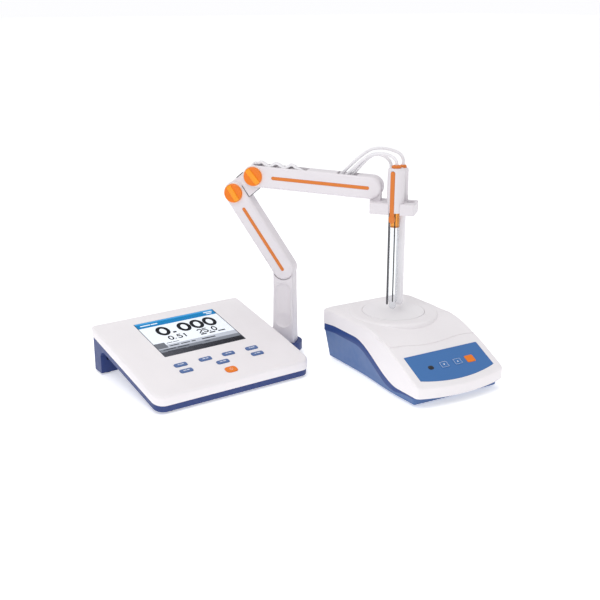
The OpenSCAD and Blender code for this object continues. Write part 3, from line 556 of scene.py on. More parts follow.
def console_shell():
    edge_r = 3.2
    rows = [CREASE_Y + CREASE_SOFT * t for t in (-1, -0.5, 0, 0.5, 1)]
    outline = rounded_box(-CASE_W / 2, CASE_W / 2, FRONT, REAR, CORNER_FRONT, CORNER_REAR, rows)
    rings = [(WALL, lambda y: console_top(y) - WALL), (WALL, parting), (0.3, parting),
             (0, lambda y: parting(y) + 0.3)]
    steps = 6
    for i in range(steps + 1):
        t = math.radians(90 * i / steps)
        drop = edge_r * (1 - math.sin(t))
        rings.append((edge_r * (1 - math.cos(t)), lambda y, drop=drop: console_top(y) - drop))
    vertices = []
    for inset, height in rings:
        for point, normal in outline:
            x, y = point - normal * inset
            vertices.append(CONSOLE @ Vector((x, y, height(y))))
    count = len(outline)
    right = outline.index(next(o for o in outline if o[0].y == rows[0] and o[0].x > 0))
    faces = ring_faces(len(rings), count)
    faces += [tuple(reversed(face)) for face in split_cap(0, count, right, len(rows))]
    faces += split_cap(len(vertices) - count, count, right, len(rows))
    shell = make("console_shell", vertices, faces, WHITE)
    half = WINDOW_W / 2
    cutters = [
        cutter(rounded_box(-half, half, WINDOW_Y, WINDOW_Y + WINDOW_L, 0.6), -1.2, 2, ON_DISPLAY),
        block(4 - half, half - 4, WINDOW_Y + 4, WINDOW_Y + WINDOW_L - 4, -6, 1, ON_DISPLAY),
    ]
    for place, outline_of in key_places():
        cutters.append(cutter(outline_of(0.35), -5, 4, place))
    for place, radius in socket_places():
        cutters.append(cutter(circle(radius), -6, 3, place))
    cut(shell, *cutters)
    return piece(soften(shell, 0.35), "console", "shell_white", "case_top")


KEYS = {"menu": (-54.7, -8.5), "mode": (-16.6, -8.5), "cal": (20.1, -8.5), "read": (58.2, -8.5),
        "store": (-54.3, -24), "print": (2.3, -24), "enter": (58.2, -24)}
POWER = (3, -45)


def key_outline(grow):
    return rounded_box(-9.5 - grow, 9.5 + grow, -4 - grow, 4 + grow, 2.6 + grow)


def power_outline(grow):
    return rounded_box(-8.75 - grow, 8.75 + grow, -6.5 - grow, 6.5 + grow, 5 + grow)


def key_places():
    places = [(ON_KEYS @ shift(x, y), key_outline) for x, y in KEYS.values()]
    return places + [(ON_KEYS @ shift(*POWER), power_outline)]


def socket_places():
    """Frames on the rear wall, z pointing out and y down, with the radius of each opening."""
    height = middle("rear_sockets").z / MM
    places = []
    for x, radius in [(x, 5.1) for x in SOCKET_X] + [(JACK_X, 4.3)]:
        places.append((CONSOLE @ shift(x, REAR, height) @ tilt(-90), radius))
    return places


def marks(name, body, slot, place, rows, material, height=0.05):
    """Thin printed marks: each row is x0, x1, y0, y1 in the local plane."""
    vertices, faces = [], []
    for x0, x1, y0, y1 in rows:
        first = len(vertices)
        for z in (-height, height):
            vertices += [place @ Vector(p) for p in
                         ((x0, y0, z), (x1, y0, z), (x1, y1, z), (x0, y1, z))]
        faces += [(first + 3, first + 2, first + 1, first), (first + 4, first + 5, first + 6, first + 7)]
        for i in range(4):
            j = (i + 1) % 4
            faces.append((first + i, first + j, first + 4 + j, first + 4 + i))
    return piece(make(name, vertices, faces, material), body, slot)


def console_keys():
    depth = -WALL - 1
    domed = [(0, depth), (0, KEY_PROUD - 0.9), (0.15, KEY_PROUD - 0.45), (0.5, KEY_PROUD - 0.15),
             (1.1, KEY_PROUD), (3.2, KEY_PROUD - 0.12)]
    for index, (name, (x, y)) in enumerate(KEYS.items()):
        place = ON_KEYS @ shift(x, y)
        cap = stack("key_cap_" + name, key_outline(0), domed, place, KEY_BLUE)
        piece(cap, "key_" + name, "key_blue", "key_" + name)
        split = (-1.5, 0.5, -0.5)[index % 3]
        bars = [(-4.6, split - 0.5, -0.7, 0.7), (split + 0.5, 4.6, -0.7, 0.7)]
        marks("key_mark_" + name, "key_" + name, "key_blue", place @ shift(0, 0, MARK_Z),
              bars, MARK, 0.08)
    place = ON_KEYS @ shift(*POWER)
    cap = stack("key_cap_power", power_outline(0), domed[:-1] + [(3.8, KEY_PROUD - 0.15)], place, ORANGE)
    piece(cap, "key_power", "orange", "key_power")
    ring = arc(0, 0, 2.1, 120, 420, 20)
    curve = [place @ Vector((p.x, p.y, MARK_Z)) for p, _ in ring]
    stem = [place @ Vector((0, y, MARK_Z)) for y in (0.6, 1.8, 3.0)]
    symbol = tubes("key_mark_power", [curve, stem], 0.22, PEACH)
    piece(symbol, "key_power", "orange")


SCREEN_COLOURS = {}


def screen_ink(red, green, blue):
    """Lit display colour with a faint pixel structure."""
    key = (red, green, blue)
    if key not in SCREEN_COLOURS:
        material, tree, shader = new_material("screen_%d_%d_%d" % key)
        rows = noise(tree, 1800, 2, (3, 1, 1))
        colour = tinted(tree, srgb(*key), rows, 0.02)
        set_inputs(shader, {"Base Color": colour, "Emission Color": colour, "Emission Strength": 0.25,
                "Specular IOR Level": 0.1, "Roughness": 0.35})
        SCREEN_COLOURS[key] = material
    return SCREEN_COLOURS[key]


def digit_strokes(text, x, y, height, width):
    """Centre lines of simple upright digits, with the width of one digit given."""
    strokes = []
    for char in text:
        if char == ".":
            strokes.append([(x + width * 0.2, y), (x + width * 0.2, y + height * 0.18)])
            x += width * 0.62
            continue
        middle_x = x + width / 2
        half_w, half_h = width * 0.36, height / 2
        if char == "0":
            line = [(middle_x + half_w * math.cos(a), y + half_h + half_h * math.sin(a))
                    for a in [2 * math.pi * i / 28 for i in range(29)]]
        elif char == "1":
            line = [(middle_x - half_w * 0.6, y + height * 0.78), (middle_x, y + height),
                    (middle_x, y)]
        elif char == "2":
            line = [(middle_x + half_w * math.cos(a), y + height * 0.72 + height * 0.28 * math.sin(a))
                    for a in [math.radians(170 - 20 * i) for i in range(11)]]
            line += [(middle_x - half_w, y), (middle_x + half_w, y)]
        else:
            line = [(middle_x + half_w, y + height), (middle_x - half_w * 0.8, y + height),
                    (middle_x - half_w * 0.9, y + height * 0.55)]
            line += [(middle_x - half_w * 0.1 + half_w * math.cos(a),
                      y + height * 0.31 + height * 0.31 * math.sin(a))
                     for a in [math.radians(110 - 25 * i) for i in range(12)]]
        strokes.append(line)
        x += width
    return strokes


def flat_strokes(name, strokes, thick, place, material):
    """Flat bands of a given thickness along strokes in the local plane."""
    vertices, faces = [], []
    for line in strokes:
        points = [Vector(p) for p in line]
        first = len(vertices)
        for i, point in enumerate(points):
            a, b = points[max(i - 1, 0)], points[min(i + 1, len(points) - 1)]
            if (points[0] - points[-1]).length < 1e-6 and i in (0, len(points) - 1):
                a, b = points[-2], points[1]
            side = (b - a).normalized().orthogonal() * thick / 2
            for offset in (side, -side):
                vertices.append(place @ Vector((*(point + offset), 0)))
        for i in range(len(points) - 1):
            k = first + 2 * i
            faces.append((k, k + 1, k + 3, k + 2))
    obj = make(name, vertices, faces, material)
    solid = obj.modifiers.new("solid", "SOLIDIFY")
    solid.thickness = 0.06 * MM
    bake(obj)
    return piece(obj, "console", "lcd")


def display():
    """Screen picture behind the window: header, field, figures, lines and bars."""
    half, low, high = WINDOW_W / 2 - 0.5, WINDOW_Y + 0.5, WINDOW_Y + WINDOW_L - 0.5
    length = high - low

    def bars(name, rows, colour, layer):
        rows = [(-half + 2 * half * u0, -half + 2 * half * u1, low + length * v0, low + length * v1)
                for u0, u1, v0, v1 in rows]
        place = ON_DISPLAY @ shift(0, 0, -0.2 + 0.03 * layer)
        return marks(name, "console", "lcd", place, rows, screen_ink(*colour), 0.02)

    bars("screen_field", [(0, 1, 0, 1)], (240, 243, 246), 0)
    bars("screen_header", [(0, 1, 0.85, 1)], (8, 122, 178), 1)
    bars("screen_header_light", [(0, 1, 0.965, 1)], (70, 160, 215), 2)
    bars("screen_header_marks", [(0.05, 0.17, 0.905, 0.93), (0.18, 0.26, 0.905, 0.93),
                                 (0.86, 0.97, 0.93, 0.955), (0.88, 0.95, 0.885, 0.91)],
         (235, 244, 250), 2)
    bars("screen_status", [(0, 1, 0.2, 0.3)], (190, 193, 200), 1)
    bars("screen_status_low", [(0, 1, 0.12, 0.2)], (128, 131, 138), 1)
    bars("screen_tile", [(0, 0.13, 0.22, 0.37)], (110, 112, 118), 2)
    bars("screen_lines", [(0.15, 0.22, 0.33, 0.345), (0.23, 0.3, 0.33, 0.345),
            (0.15, 0.27, 0.24, 0.262), (0.29, 0.4, 0.24, 0.262),
            (0.42, 0.47, 0.24, 0.262), (0.55, 0.72, 0.235, 0.262),
            (0.05, 0.2, 0.165, 0.185), (0.22, 0.36, 0.165, 0.185),
            (0.08, 0.3, 0.115, 0.13), (0.33, 0.5, 0.115, 0.13),
            (0.55, 0.62, 0.165, 0.18)], (60, 62, 70), 3)
    bars("screen_dashes", [(0.59, 0.66, 0.355, 0.385), (0.7, 0.77, 0.355, 0.385),
            (0.81, 0.9, 0.355, 0.385)], (52, 54, 62), 3)
    steps = 8
    for i in range(steps):
        shade = 74 - 6 * i
        bars("screen_footer_%d" % i, [(i / steps, (i + 1) / steps, 0, 0.12)],
             (shade, shade, shade + 6), 1)
    ink = screen_ink(14, 16, 22)
    place = ON_DISPLAY @ shift(-half, low, -0.2 + 0.03 * 3)
    big = digit_strokes("0.000", 20, length * 0.54 + 3, 20, 21)
    flat_strokes("screen_digits_large", big, 5.4, place, ink)
    small = digit_strokes("0.51", 28, length * 0.405, 9.5, 8.6)
    small += digit_strokes("25.0", 75, length * 0.405, 10.5, 8.8)
    flat_strokes("screen_digits_small", small, 2.1, place, ink)
    edge = [(-half - 0.3, -half + 0.6, low, high), (half - 0.6, half + 0.3, low, high)]
    marks("screen_edges", "console", "lcd", ON_DISPLAY @ shift(0, 0, -0.06), edge,
          screen_ink(60, 64, 74), 0.02)


def plugs_and_leads():
    """Angled plugs with ribbed strain relief, and the three leads low along the console's rear."""
    body = [(5.0, 2), (6.1, 2), (6.3, 2.6), (6.3, 15.4), (5.7, 16.4), (4.6, 17), (0.1, 17)]
    relief = [(0.1, 2), (4.3, 2), (4.3, 7.6), (3.8, 8.4)]
    for rib in range(4):
        z = 8.6 + 2.2 * rib
        radius = 3.8 - 0.25 * rib
        relief += [(radius, z), (radius, z + 1.2), (radius - 0.6, z + 1.4), (radius - 0.6, z + 2)]
    relief.append((0.1, 17.6))
    curves = []
    for index, (place, _) in enumerate(socket_places()[:3]):
        plug = turned("lead_plug_%d" % index, body, place, PLUG)
        weld(plug, turned("relief", relief, place @ shift(0, 0, PLUG_BEND) @ tilt(-90), PLUG))
        piece(soften(plug, 0.2), "console", "cable")
        row = TAIL_GAP * (index - 1)
        down = [place @ Vector((0, y, PLUG_BEND)) for y in (16, 20)]
        x = SOCKET_X[index]
        line = [(x + 2.5, REAR + PLUG_BEND, TAIL_Z + 3 + row / 2), (x + 9, REAR + PLUG_BEND, TAIL_Z + row),
                (x + 20, REAR + PLUG_BEND, TAIL_Z + row), (112, REAR + PLUG_BEND, TAIL_Z + row),
                (132, REAR + PLUG_BEND - 5, TAIL_Z + row), (145, REAR - 4, TAIL_Z + row),
                (TAIL_X, TAIL_Y, TAIL_Z + row)]
        curves.append(spline(down + [CONSOLE @ Vector(p) for p in line]))
    leads = tubes("console_leads", curves, CABLE_R, CABLE)
    return piece(leads, "console", "cable", "cable_tail")


def console():
    console_shell()
    console_keys()
    display()
    plugs_and_leads()
    dress("case_bottom", BLUE, 0.8)
    dress("display_window", WINDOW, 0.25)
    dress("lcd_panel", DARK)
    dress("main_board", BOARD, 0.1)
    dress("key_mat", SILICONE, 0.2)
    dress("console_feet", RUBBER, 0.6)
    dress("console_screws", STEEL, 0.2)
    dress("rear_sockets", GOLD, 0.2)
    dress("arm_bracket", BLUE, 3)
    dress("swivel_bush", BRASS, 0.3)


# ----- arm -----

ARM_R, ARM_T, ARM_WALL = 16, 13, 2.5
CHEEK = ARM_T - ARM_WALL
LINK_FRONT, LINK_BACK = 9.5, -3
ARM_EDGE = 4.5
STRIPE_R = 2.4
KNOB_R = 13.4
KNOB_T = 4


def post():
    z0, z1, half, foot, waist = 20.1, POST_H, 15, 16.5, POST_H - 32
    recess_z, recess_half, recess_r, scoop_z = 78, 22.1, 12.2, 57.5
    outline = [(Vector((-foot, z0)), Vector((-1, -1))), (Vector((foot, z0)), Vector((1, -1)))]
    outline += [(Vector((half, waist)), Vector((1, 0)))]
    outline += arc(0, z1, half, 0, 180, 28)
    outline += [(Vector((-half, waist)), Vector((-1, 0)))]
    scoop = [(0.1, 8.4), (3, 8.5), (6, 8.9), (8.5, 9.45), (9.6, 9.8), (9.6, 14), (0.1, 14)]
    body = stack("arm_post", outline, edged(-12, 12, 2.6, 2.6, 5), POST, ARM_WHITE)
    seat = ARM_R + 0.4
    recess = [(0, 14), (0, 11.9), (0.9, 11.0), (2.4, 10.2), (4.4, 9.6)]
    cut(body,
        cutter(circle(seat, 0, z1), LINK_FRONT, 14, POST),
        cutter(circle(seat, 0, z1), -14, LINK_BACK, POST),
        stack("cutter", capsule(-recess_half, recess_half, recess_r), list(reversed(recess)),
              POST @ shift(0, recess_z) @ tilt(90, "Z")),
        turned("cutter", scoop, POST @ shift(0, scoop_z), None, 64))
    return piece(soften(body, 0.5), "post", "shell_white", "post")


def arm(name, place, length, openings, stripe, knob_x):
    """Hollow arm with openings in its edge wall and a groove for its orange inlay."""
    shell = stack(name + "_shell", capsule(0, length, ARM_R, 28),
                  edged(-ARM_T, ARM_T, ARM_EDGE, ARM_EDGE, 8), place, ARM_WHITE)
    x0, x1 = stripe
    cut(shell,
        stack("cutter", capsule(0, length, ARM_R - ARM_WALL), edged(-CHEEK, CHEEK, 0.5, 0.5), place),
        *[block(*opening, -CHEEK, CHEEK, place) for opening in openings],
        cutter(capsule(x0 + STRIPE_R, x1 - STRIPE_R, STRIPE_R + 0.12), ARM_T - 1, ARM_T + 1, place))
    piece(soften(shell, 0.5), name, "shell_white", name)
    inlay = stack(name + "_inlay", capsule(x0 + STRIPE_R, x1 - STRIPE_R, STRIPE_R),
                  [(0, ARM_T - 1), (0, ARM_T - 0.1), (0.35, ARM_T + 0.2)], place, INLAY)
    piece(inlay, name, "orange", name.replace("arm", "stripe"))
    ring = turned(name + "_knob_ring", [(KNOB_R + 0.25, ARM_T - 0.1), (KNOB_R + 1.1, ARM_T - 0.1),
            (KNOB_R + 1.0, ARM_T + 0.4), (KNOB_R + 0.6, ARM_T + 0.6),
            (KNOB_R + 0.3, ARM_T + 0.4)], place @ shift(knob_x), PEACH, 64)
    piece(ring, name, "shell_white")


def knob(name, centre, turn):
    """Friction knob: dished disc with a broad grip across its face, in a lighter orange that is a painted
    highlight.
    """
    place = local_frame(centre, REACH, UP) @ tilt(turn, "Z")
    face = ARM_T + KNOB_T
    disc = turned(name + "_disc", [(0.1, ARM_T + 0.2), (KNOB_R - 0.6, ARM_T + 0.2),
            (KNOB_R, ARM_T + 0.8), (KNOB_R, face - 1.2),
            (KNOB_R - 0.4, face - 0.4), (KNOB_R - 1.3, face),
            (KNOB_R - 3.2, face - 0.4), (KNOB_R - 6, face - 0.6),
            (0.1, face - 0.6)], place, ORANGE, 72)
    reach, half = KNOB_R - 0.6, 3.9
    swing = math.degrees(math.asin(half / reach))
    band = arc(0, 0, reach, -swing, swing, 10) + arc(0, 0, reach, 180 - swing, 180 + swing, 10)
    # The grip's lighter orange is a painted highlight.
    ridge = stack(name + "_grip", band, [(0, face - 2), (0, face - 0.4), (0.6, face + 0.3),
            (1.4, face + 0.7), (2.4, face + 0.9)], place, GRIP_HIGHLIGHT)
    piece(soften(disc, 0.25), name, "orange", name)
    piece(soften(ridge, 0.25), name, "orange")


def arm_assembly():
    post()
    wide = 2 * ARM_R
    arm("lower_arm", LOWER, LOWER_L,
        [(-wide, LOWER_L + wide, 0, wide), (-wide, 9, -wide, 0),
         (LOWER_L - 21, LOWER_L + wide, -wide, 0)], (-2, 106), LOWER_L)
    arm("upper_arm", UPPER, UPPER_L,
        [(-wide, 78, 0, wide), (120, 150, 0, wide), (-wide, 16, -wide, 0),
         (UPPER_L - 18, UPPER_L + wide, -wide, -3)], (27, 168.5), 0)
    plug = turned("arm_plug", [(0.1, ARM_T - 2), (1.7, ARM_T - 2), (1.7, ARM_T - 0.6), (1.3, ARM_T - 0.3),
            (0.1, ARM_T - 0.3)], LOWER @ shift(12.4, -11.4), STEEL, 24)
    piece(plug, "lower_arm", "steel")
    link = stack("elbow_block", rounded_box(-8, LINK_L + 8, -18.5, 14.5, 3, 5.5),
                 edged(LINK_BACK, LINK_FRONT, 1.2, 1.2), LINK, ARM_WHITE)
    piece(link, "elbow_link", "shell_white", "elbow_link")
    # Thin dark tubes along the elbow block's edges are painted shade: they stand for shadowed faces and
    # gaps, not real parts.
    shade_lines = [((17, 14, LINK_FRONT - 0.8), (29, 14, LINK_FRONT - 0.8)),
             ((15, -18.1, LINK_FRONT - 1.2), (35, -18.1, LINK_FRONT - 1.2))]
    for index, ends in enumerate(shade_lines):
        line = [LINK @ Vector(point) for point in ends]
        piece(tubes("elbow_seal_%d" % index, [line], 0.9, DARK), "elbow_link", "dark")
    # Painted shade line along the lower arm's flank, where it lies over the elbow block.
    flank = [LOWER @ Vector((x, -15.8, LINK_FRONT + 0.3)) for x in (LOWER_L - 17, LOWER_L + 2)]
    piece(tubes("elbow_seal_flank", [flank], 0.55, DARK), "lower_arm", "dark")
    for name, centre, turn in (("knob_lower", ELBOW_LOW, -58), ("knob_upper", ELBOW_HIGH, -50)):
        knob(name, centre, turn)
    for node in ("lower_rod", "upper_rod", "elbow_bolts", "post_pin", "wrist_pin", "swivel_bolt"):
        dress(node, STEEL, 0.3)


# ----- holder and probes -----

HOLDER_LOW, HOLDER_HIGH = 225, 241
HOLDER_NEAR, HOLDER_FAR, HOLDER_FRONT, HOLDER_BACK = 128, 191, -24, 14
PH_AT, REF_AT, TEMP_AT, SPARE_AT = (163, -14), (168, 10), (152.2, 3), (182.3, -3)
CAP_R, CAP_LOW, CAP_HIGH, COLLAR_R = 12, 228, 289, 6.8
REF_CAP_R, REF_CAP_HIGH, REF_COLLAR_R = 8.5, 286, 5
SHAFT_R, SHAFT_TOP, TIP = 6, 272, 88
SLIDER_TURN, SLIDER_LOW, SLIDER_HIGH, SLIDER_R = -14, 219.5, 286, 3.2


def holder():
    clips = stack("probe_holder", rounded_box(HOLDER_NEAR, HOLDER_FAR, HOLDER_FRONT, HOLDER_BACK, 3.5),
                  edged(HOLDER_LOW, HOLDER_HIGH, 1.5, 1.5), ARM, ARM_WHITE)
    wrist = Vector(((WRIST - POST_PIVOT).dot(REACH) / MM, WRIST.z / MM))
    eye = stack("eye", circle(ARM_R - ARM_WALL - 0.5, *wrist), edged(LINK_BACK, LINK_FRONT, 1, 1), POST)
    neck = stack("neck", rounded_box(125.6, 141, HOLDER_LOW + 2, wrist.y - 5, 1.5),
                 edged(LINK_BACK, LINK_FRONT, 1, 1), POST)
    weld(clips, neck, eye)
    low, high = HOLDER_LOW - 10, HOLDER_HIGH + 10
    cutters = []
    for (x, y), radius, towards in ((PH_AT, CAP_R, -1), (REF_AT, REF_CAP_R, 1)):
        place = ARM @ shift(x, y)
        cutters.append(cutter(circle(radius + 0.05), low, high, place))
        cutters.append(block(-8, 8, min(0, 30 * towards), max(0, 30 * towards), low, high, place))
    for (x, y), radius in ((TEMP_AT, 1.55), (SPARE_AT, SHAFT_R + 0.05)):
        cutters.append(cutter(circle(radius), low, high, ARM @ shift(x, y)))
    cut(clips, *cutters)
    return piece(soften(clips, 0.5), "holder", "shell_white", "holder")


def electrode_cap(name, at, radius, high, own_cut, body, node):
    """White cap of an electrode, bored for its shaft, with one more cut of its own."""
    place = ARM @ shift(*at)
    profile = [(radius - 2.2, CAP_LOW + 0.4), (radius - 0.6, CAP_LOW), (radius - 0.1, CAP_LOW + 0.4),
               (radius, CAP_LOW + 1.2), (radius, CAP_LOW + 20), (radius - 0.4, high - 4),
               (radius - 0.8, high - 1.6), (radius - 1.6, high - 0.5), (radius - 2.8, high), (2.6, high)]
    cap = turned(name, profile, place, ARM_WHITE, 64)
    cut(cap, own_cut, cutter(circle(SHAFT_R), CAP_LOW - 8, SHAFT_TOP, place))
    return piece(soften(cap, 0.25), body, "shell_white", node)


def collar(name, at, radius, z, body, node):
    """Orange cable nut with a stepped top and three flats."""
    place = ARM @ shift(*at)
    neck = 1.6 + 0.4 * radius
    nut = turned(name, [(3, z), (radius - 0.5, z), (radius, z + 0.5), (radius, z + 2.4),
                   (radius - 0.6, z + 3), (neck + 0.4, z + 3.2), (neck, z + 4), (2.6, z + 4)],
            place, INLAY)
    cut(nut, *[block(radius - 0.6, radius + 5, -2.2, 2.2, z - 1, z + 8, place @ tilt(120 * i + 40, "Z"))
               for i in range(3)])
    return piece(soften(nut, 0.2), body, "orange", node)


def ph_electrode():
    place = ARM @ shift(*PH_AT)
    facing = place @ tilt(SLIDER_TURN, "Z") @ tilt(90) @ tilt(90, "Z")
    slot = cutter(capsule(210, SLIDER_HIGH - SLIDER_R, SLIDER_R + 0.15), CAP_R - 2.6, CAP_R + 3.5, facing)
    electrode_cap("ph_cap_body", PH_AT, CAP_R, CAP_HIGH, slot, "ph_electrode", "ph_cap")
    slider = stack("slider_strip", capsule(SLIDER_LOW, SLIDER_HIGH - SLIDER_R - 0.3, SLIDER_R - 0.1),
                   [(0, CAP_R - 2.4), (0, CAP_R - 0.5), (0.4, CAP_R - 0.1)], facing, INLAY)
    thumb = stack("thumb", capsule(SLIDER_LOW - 1.5, SLIDER_LOW + 1.5, 4.2),
                  [(0, CAP_R - 2.3), (0, CAP_R - 0.1), (0.5, CAP_R + 0.5), (1.6, CAP_R + 0.8)], facing)
    weld(slider, thumb)
    piece(slider, "fill_slider", "orange", "fill_slider")
    collar("ph_nut", PH_AT, COLLAR_R, CAP_HIGH, "ph_electrode", "ph_collar")
    glass = turned("ph_glass", [(0.1, TIP), (2.2, TIP + 0.6), (3.9, TIP + 2), (4.9, TIP + 4.2),
            (5.0, TIP + 6), (4.2, TIP + 8.6), (4.4, TIP + 10), (SHAFT_R, TIP + 12),
            (SHAFT_R, SHAFT_TOP), (0.1, SHAFT_TOP)], place, GLASS)
    piece(glass, "ph_electrode", "glass", "ph_shaft")
    wire = turned("ph_wire", [(0.1, 98), (0.9, 98.4), (0.9, 240), (0.1, 240)], place, WIRE, 20)
    piece(wire, "ph_electrode", "steel")
    sleeve = turned("ph_amber_sleeve", [(6.05, 207), (6.7, 207), (6.9, 207.4), (6.9, CAP_LOW),
            (6.05, CAP_LOW)], place, AMBER)
    piece(sleeve, "ph_electrode", "amber", "ph_sleeve")


def ref_electrode():
    place = ARM @ shift(*REF_AT)
    flat = block(REF_CAP_R - 0.9, REF_CAP_R + 3, -3.5, 3.5, CAP_LOW + 20, CAP_LOW + 53, place)
    electrode_cap("ref_cap_body", REF_AT, REF_CAP_R, REF_CAP_HIGH, flat, "ref_electrode", "ref_cap")
    collar("ref_nut", REF_AT, REF_COLLAR_R, REF_CAP_HIGH, "ref_electrode", "ref_collar")
    groove = 130
    shaft = turned("ref_tube", [(0.1, TIP), (3.4, TIP), (4, TIP + 0.6), (4, TIP + 2.4), (5.2, TIP + 2.6),
            (SHAFT_R, TIP + 3.6), (SHAFT_R, groove), (5.9, groove + 0.3),
            (5.9, groove + 0.8), (SHAFT_R, groove + 1.1), (SHAFT_R, SHAFT_TOP),
            (0.1, SHAFT_TOP)], place, SHAFT)
    piece(shaft, "ref_electrode", "ref_body", "ref_shaft")


def temp_probe():
    dress("temp_rod", PROBE_STEEL, 0.1)
    handle = turned("temp_grip", [(1.55, 247.2), (2.8, 247.2), (3, 247.8), (3, 266), (2.6, 267),
                          (2.6, 269), (3, 270), (3, 280), (2.4, 283), (0.1, 283)],
            ARM @ shift(*TEMP_AT), CABLE, 32)
    piece(handle, "temp_probe", "cable", "temp_handle")


# ----- leads -----

def in_arm(points):
    return [ARM @ Vector(p) for p in points]


def bend(name, curves, bodies, start, end):
    """Leads that run from one body to another, made as one tube piece fixed in the world; bodies, start and
    end are not used.
    """
    leads = tubes(name, curves, CABLE_R, CABLE)
    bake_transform(leads)
    return leads


def arches():
    """Leads that arch from the probes over to the open top of the upper arm."""
    paths = {
        "ref": ("ref_electrode", [(168, 10, 289), (168, 10, 297), (163, 9.5, 305), (153, 8.5, 309.5)],
                [(139, 6.5, 312), (124, 4.5, 310), (109, 3, 300), (96, 2.5, 288), (86, 2, 278),
                 (78, 2, 270)]),
        "ph": ("ph_electrode", [(163, -14, 292), (162.5, -14, 298), (156, -12, 304)],
               [(144, -9, 306.8), (127, -6, 304.5), (112, -4, 294.5), (100, -3, 283), (92, -3, 275),
                (84, -3, 267)]),
        "temp": ("temp_probe", [(152.2, 3, 281), (152.2, 3, 291), (148, 3, 298)],
                 [(139, 2.5, 303), (130, 2, 303.5), (121, 1, 298.5), (111, 0, 288), (102, 0, 278),
                  (94, 0, 270)]),
    }
    for name, (body, rise, fall) in paths.items():
        curve = spline(in_arm(rise + fall))
        turn = (len(rise) + 2) * PER_SPAN
        bend("lead_%s_rise" % name, [curve[:turn + 1]], (body, "holder"), curve[PER_SPAN // 2], curve[turn])
        arch = bend("lead_%s_arch" % name, [curve[turn:]], ("holder", "upper_arm"), curve[turn], curve[-1])
    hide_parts("cable_arc")


def beside(points, offsets):
    """Copies of a path shifted across the arm; those nearer its back lie lower."""
    return [spline(in_arm([(x, y + offset, z - LEAD_DROP * offset) for x, y, z in points]))
            for offset in offsets]


def upper_point(x, up, depth=0):
    """Place in the arm frame of a point of the upper arm: along it, above its centre line."""
    return tuple(ARM.inverted() @ (UPPER @ Vector((x, up, -depth))))


def lower_point(x, up, depth=0):
    return tuple(ARM.inverted() @ (LOWER @ Vector((x, up, -depth))))


def arm_leads():
    """The bundle of three leads along the arms, round the elbow and down behind the post."""
    offsets = (-LEAD_GAP, 0, LEAD_GAP)
    crest, period, height, swing = 10, 22.5, 16.6, 2.9
    humps = [upper_point(x, height + swing * math.cos(2 * math.pi * (x - crest) / period), -3)
             for x in range(6, 66, 4)]
    channel = [upper_point(x, 9.2, depth) for x, depth in ((80, -2), (90, 0), (104, 0), (120, 0), (141, 0))]
    along = tubes("leads_upper", beside(humps + channel, offsets), CABLE_R, CABLE)
    piece(along, "upper_arm", "cable", "cable_upper")
    elbow_low = Vector(lower_point(LOWER_L, 0))
    elbow_high = Vector(upper_point(0, 0))
    mid = (elbow_low + elbow_high) / 2 + Vector((-6, 18.5, 6))
    first = [humps[0], upper_point(1, 15.5, 5), upper_point(-7, 12, 15), tuple(mid)]
    second = [tuple(mid), lower_point(LOWER_L - 8, 6, 18.5), lower_point(LOWER_L - 22, 12, 16),
              lower_point(LOWER_L - 32, 14, 8), lower_point(LOWER_L - 44, 9.5, 0)]
    bend("leads_elbow_high", beside(first, offsets), ("upper_arm", "elbow_link"),
         *in_arm((first[0], first[-1])))
    bend("leads_elbow_low", beside(second, offsets), ("elbow_link", "lower_arm"),
         *in_arm((second[0], second[-1])))
    run = [second[-1]] + [lower_point(x, 9.5) for x in (74, 60, 45, 30)]
    down = tubes("leads_lower", beside(run, offsets), CABLE_R, CABLE)
    piece(down, "lower_arm", "cable", "cable_lower")
    last = [run[-1], lower_point(16, 14, 8), lower_point(4, 16, 17), (-8, 18.5, 112), (-4, 18.5, 92)]
    bend("leads_shoulder", beside(last, offsets), ("lower_arm", "post"), *in_arm((last[0], last[-1])))
    foot = [last[-1], (-1, 18.5, 60), (3, 25, 36)]
    target = Vector((TAIL_X, TAIL_Y, TAIL_Z))
    curves = []
    for offset in offsets:
        points = in_arm([(x, y + offset, z - LEAD_DROP * offset) for x, y, z in foot])
        rise = Vector((0, 0, offset * TAIL_GAP / LEAD_GAP))
        curves.append(spline(points + [CONSOLE @ (Vector((159, 48, 17)) + rise),
                CONSOLE @ (target + rise)]))
    bend("leads_foot", curves, ("post", "console"), in_arm(foot)[0], CONSOLE @ target)


# ----- stirrer -----

def soft_step(t):
    t = min(max(t, 0), 1)
    return t * t * (3 - 2 * t)


def between(y, table):
    """Straight lines through a few y, z stations."""
    for (y0, z0), (y1, z1) in zip(table, table[1:]):
        if y <= y1:
            return z0 + (z1 - z0) * (y - y0) / (y1 - y0)
    return table[-1][1]


def stirrer_seam(y):
    """Height of the line where the stirrer's white top meets its blue base."""
    rise = 42 * soft_step((y + 76) / 105) - 3 * soft_step((y - 75) / 36)
    return 15.3 + rise - 0.45 * max(-118 - y, 0)


DECK = [(-126, 27.5), (-72.2, 55.7), (-56, 62.8), (-40, 69.4), (-24, 74.8), (-8, 78.2),
        (10, 79.4), (30, 79.8), (91, 79.6), (111, 76.8)]
SHOULDER = [(-126, 72), (-60, 72), (0, 71), (40, 62), (111, 60)]


def deck(x, y):
    """Height of the stirrer's top: a deck between two shoulders that drop to the sides."""
    z = sum(between(y + dy, DECK) for dy in (-6, -3, 0, 3, 6)) / 5
    edge = between(y, SHOULDER)
    side = min(max((abs(x) - edge) / (ST_W / 2 - edge), 0), 1)
    fall = 1.8 + 2.4 * soft_step((45 - y) / 60) - 4.2 * soft_step((-45 - y) / 40)
    return z - side * fall - 0.2


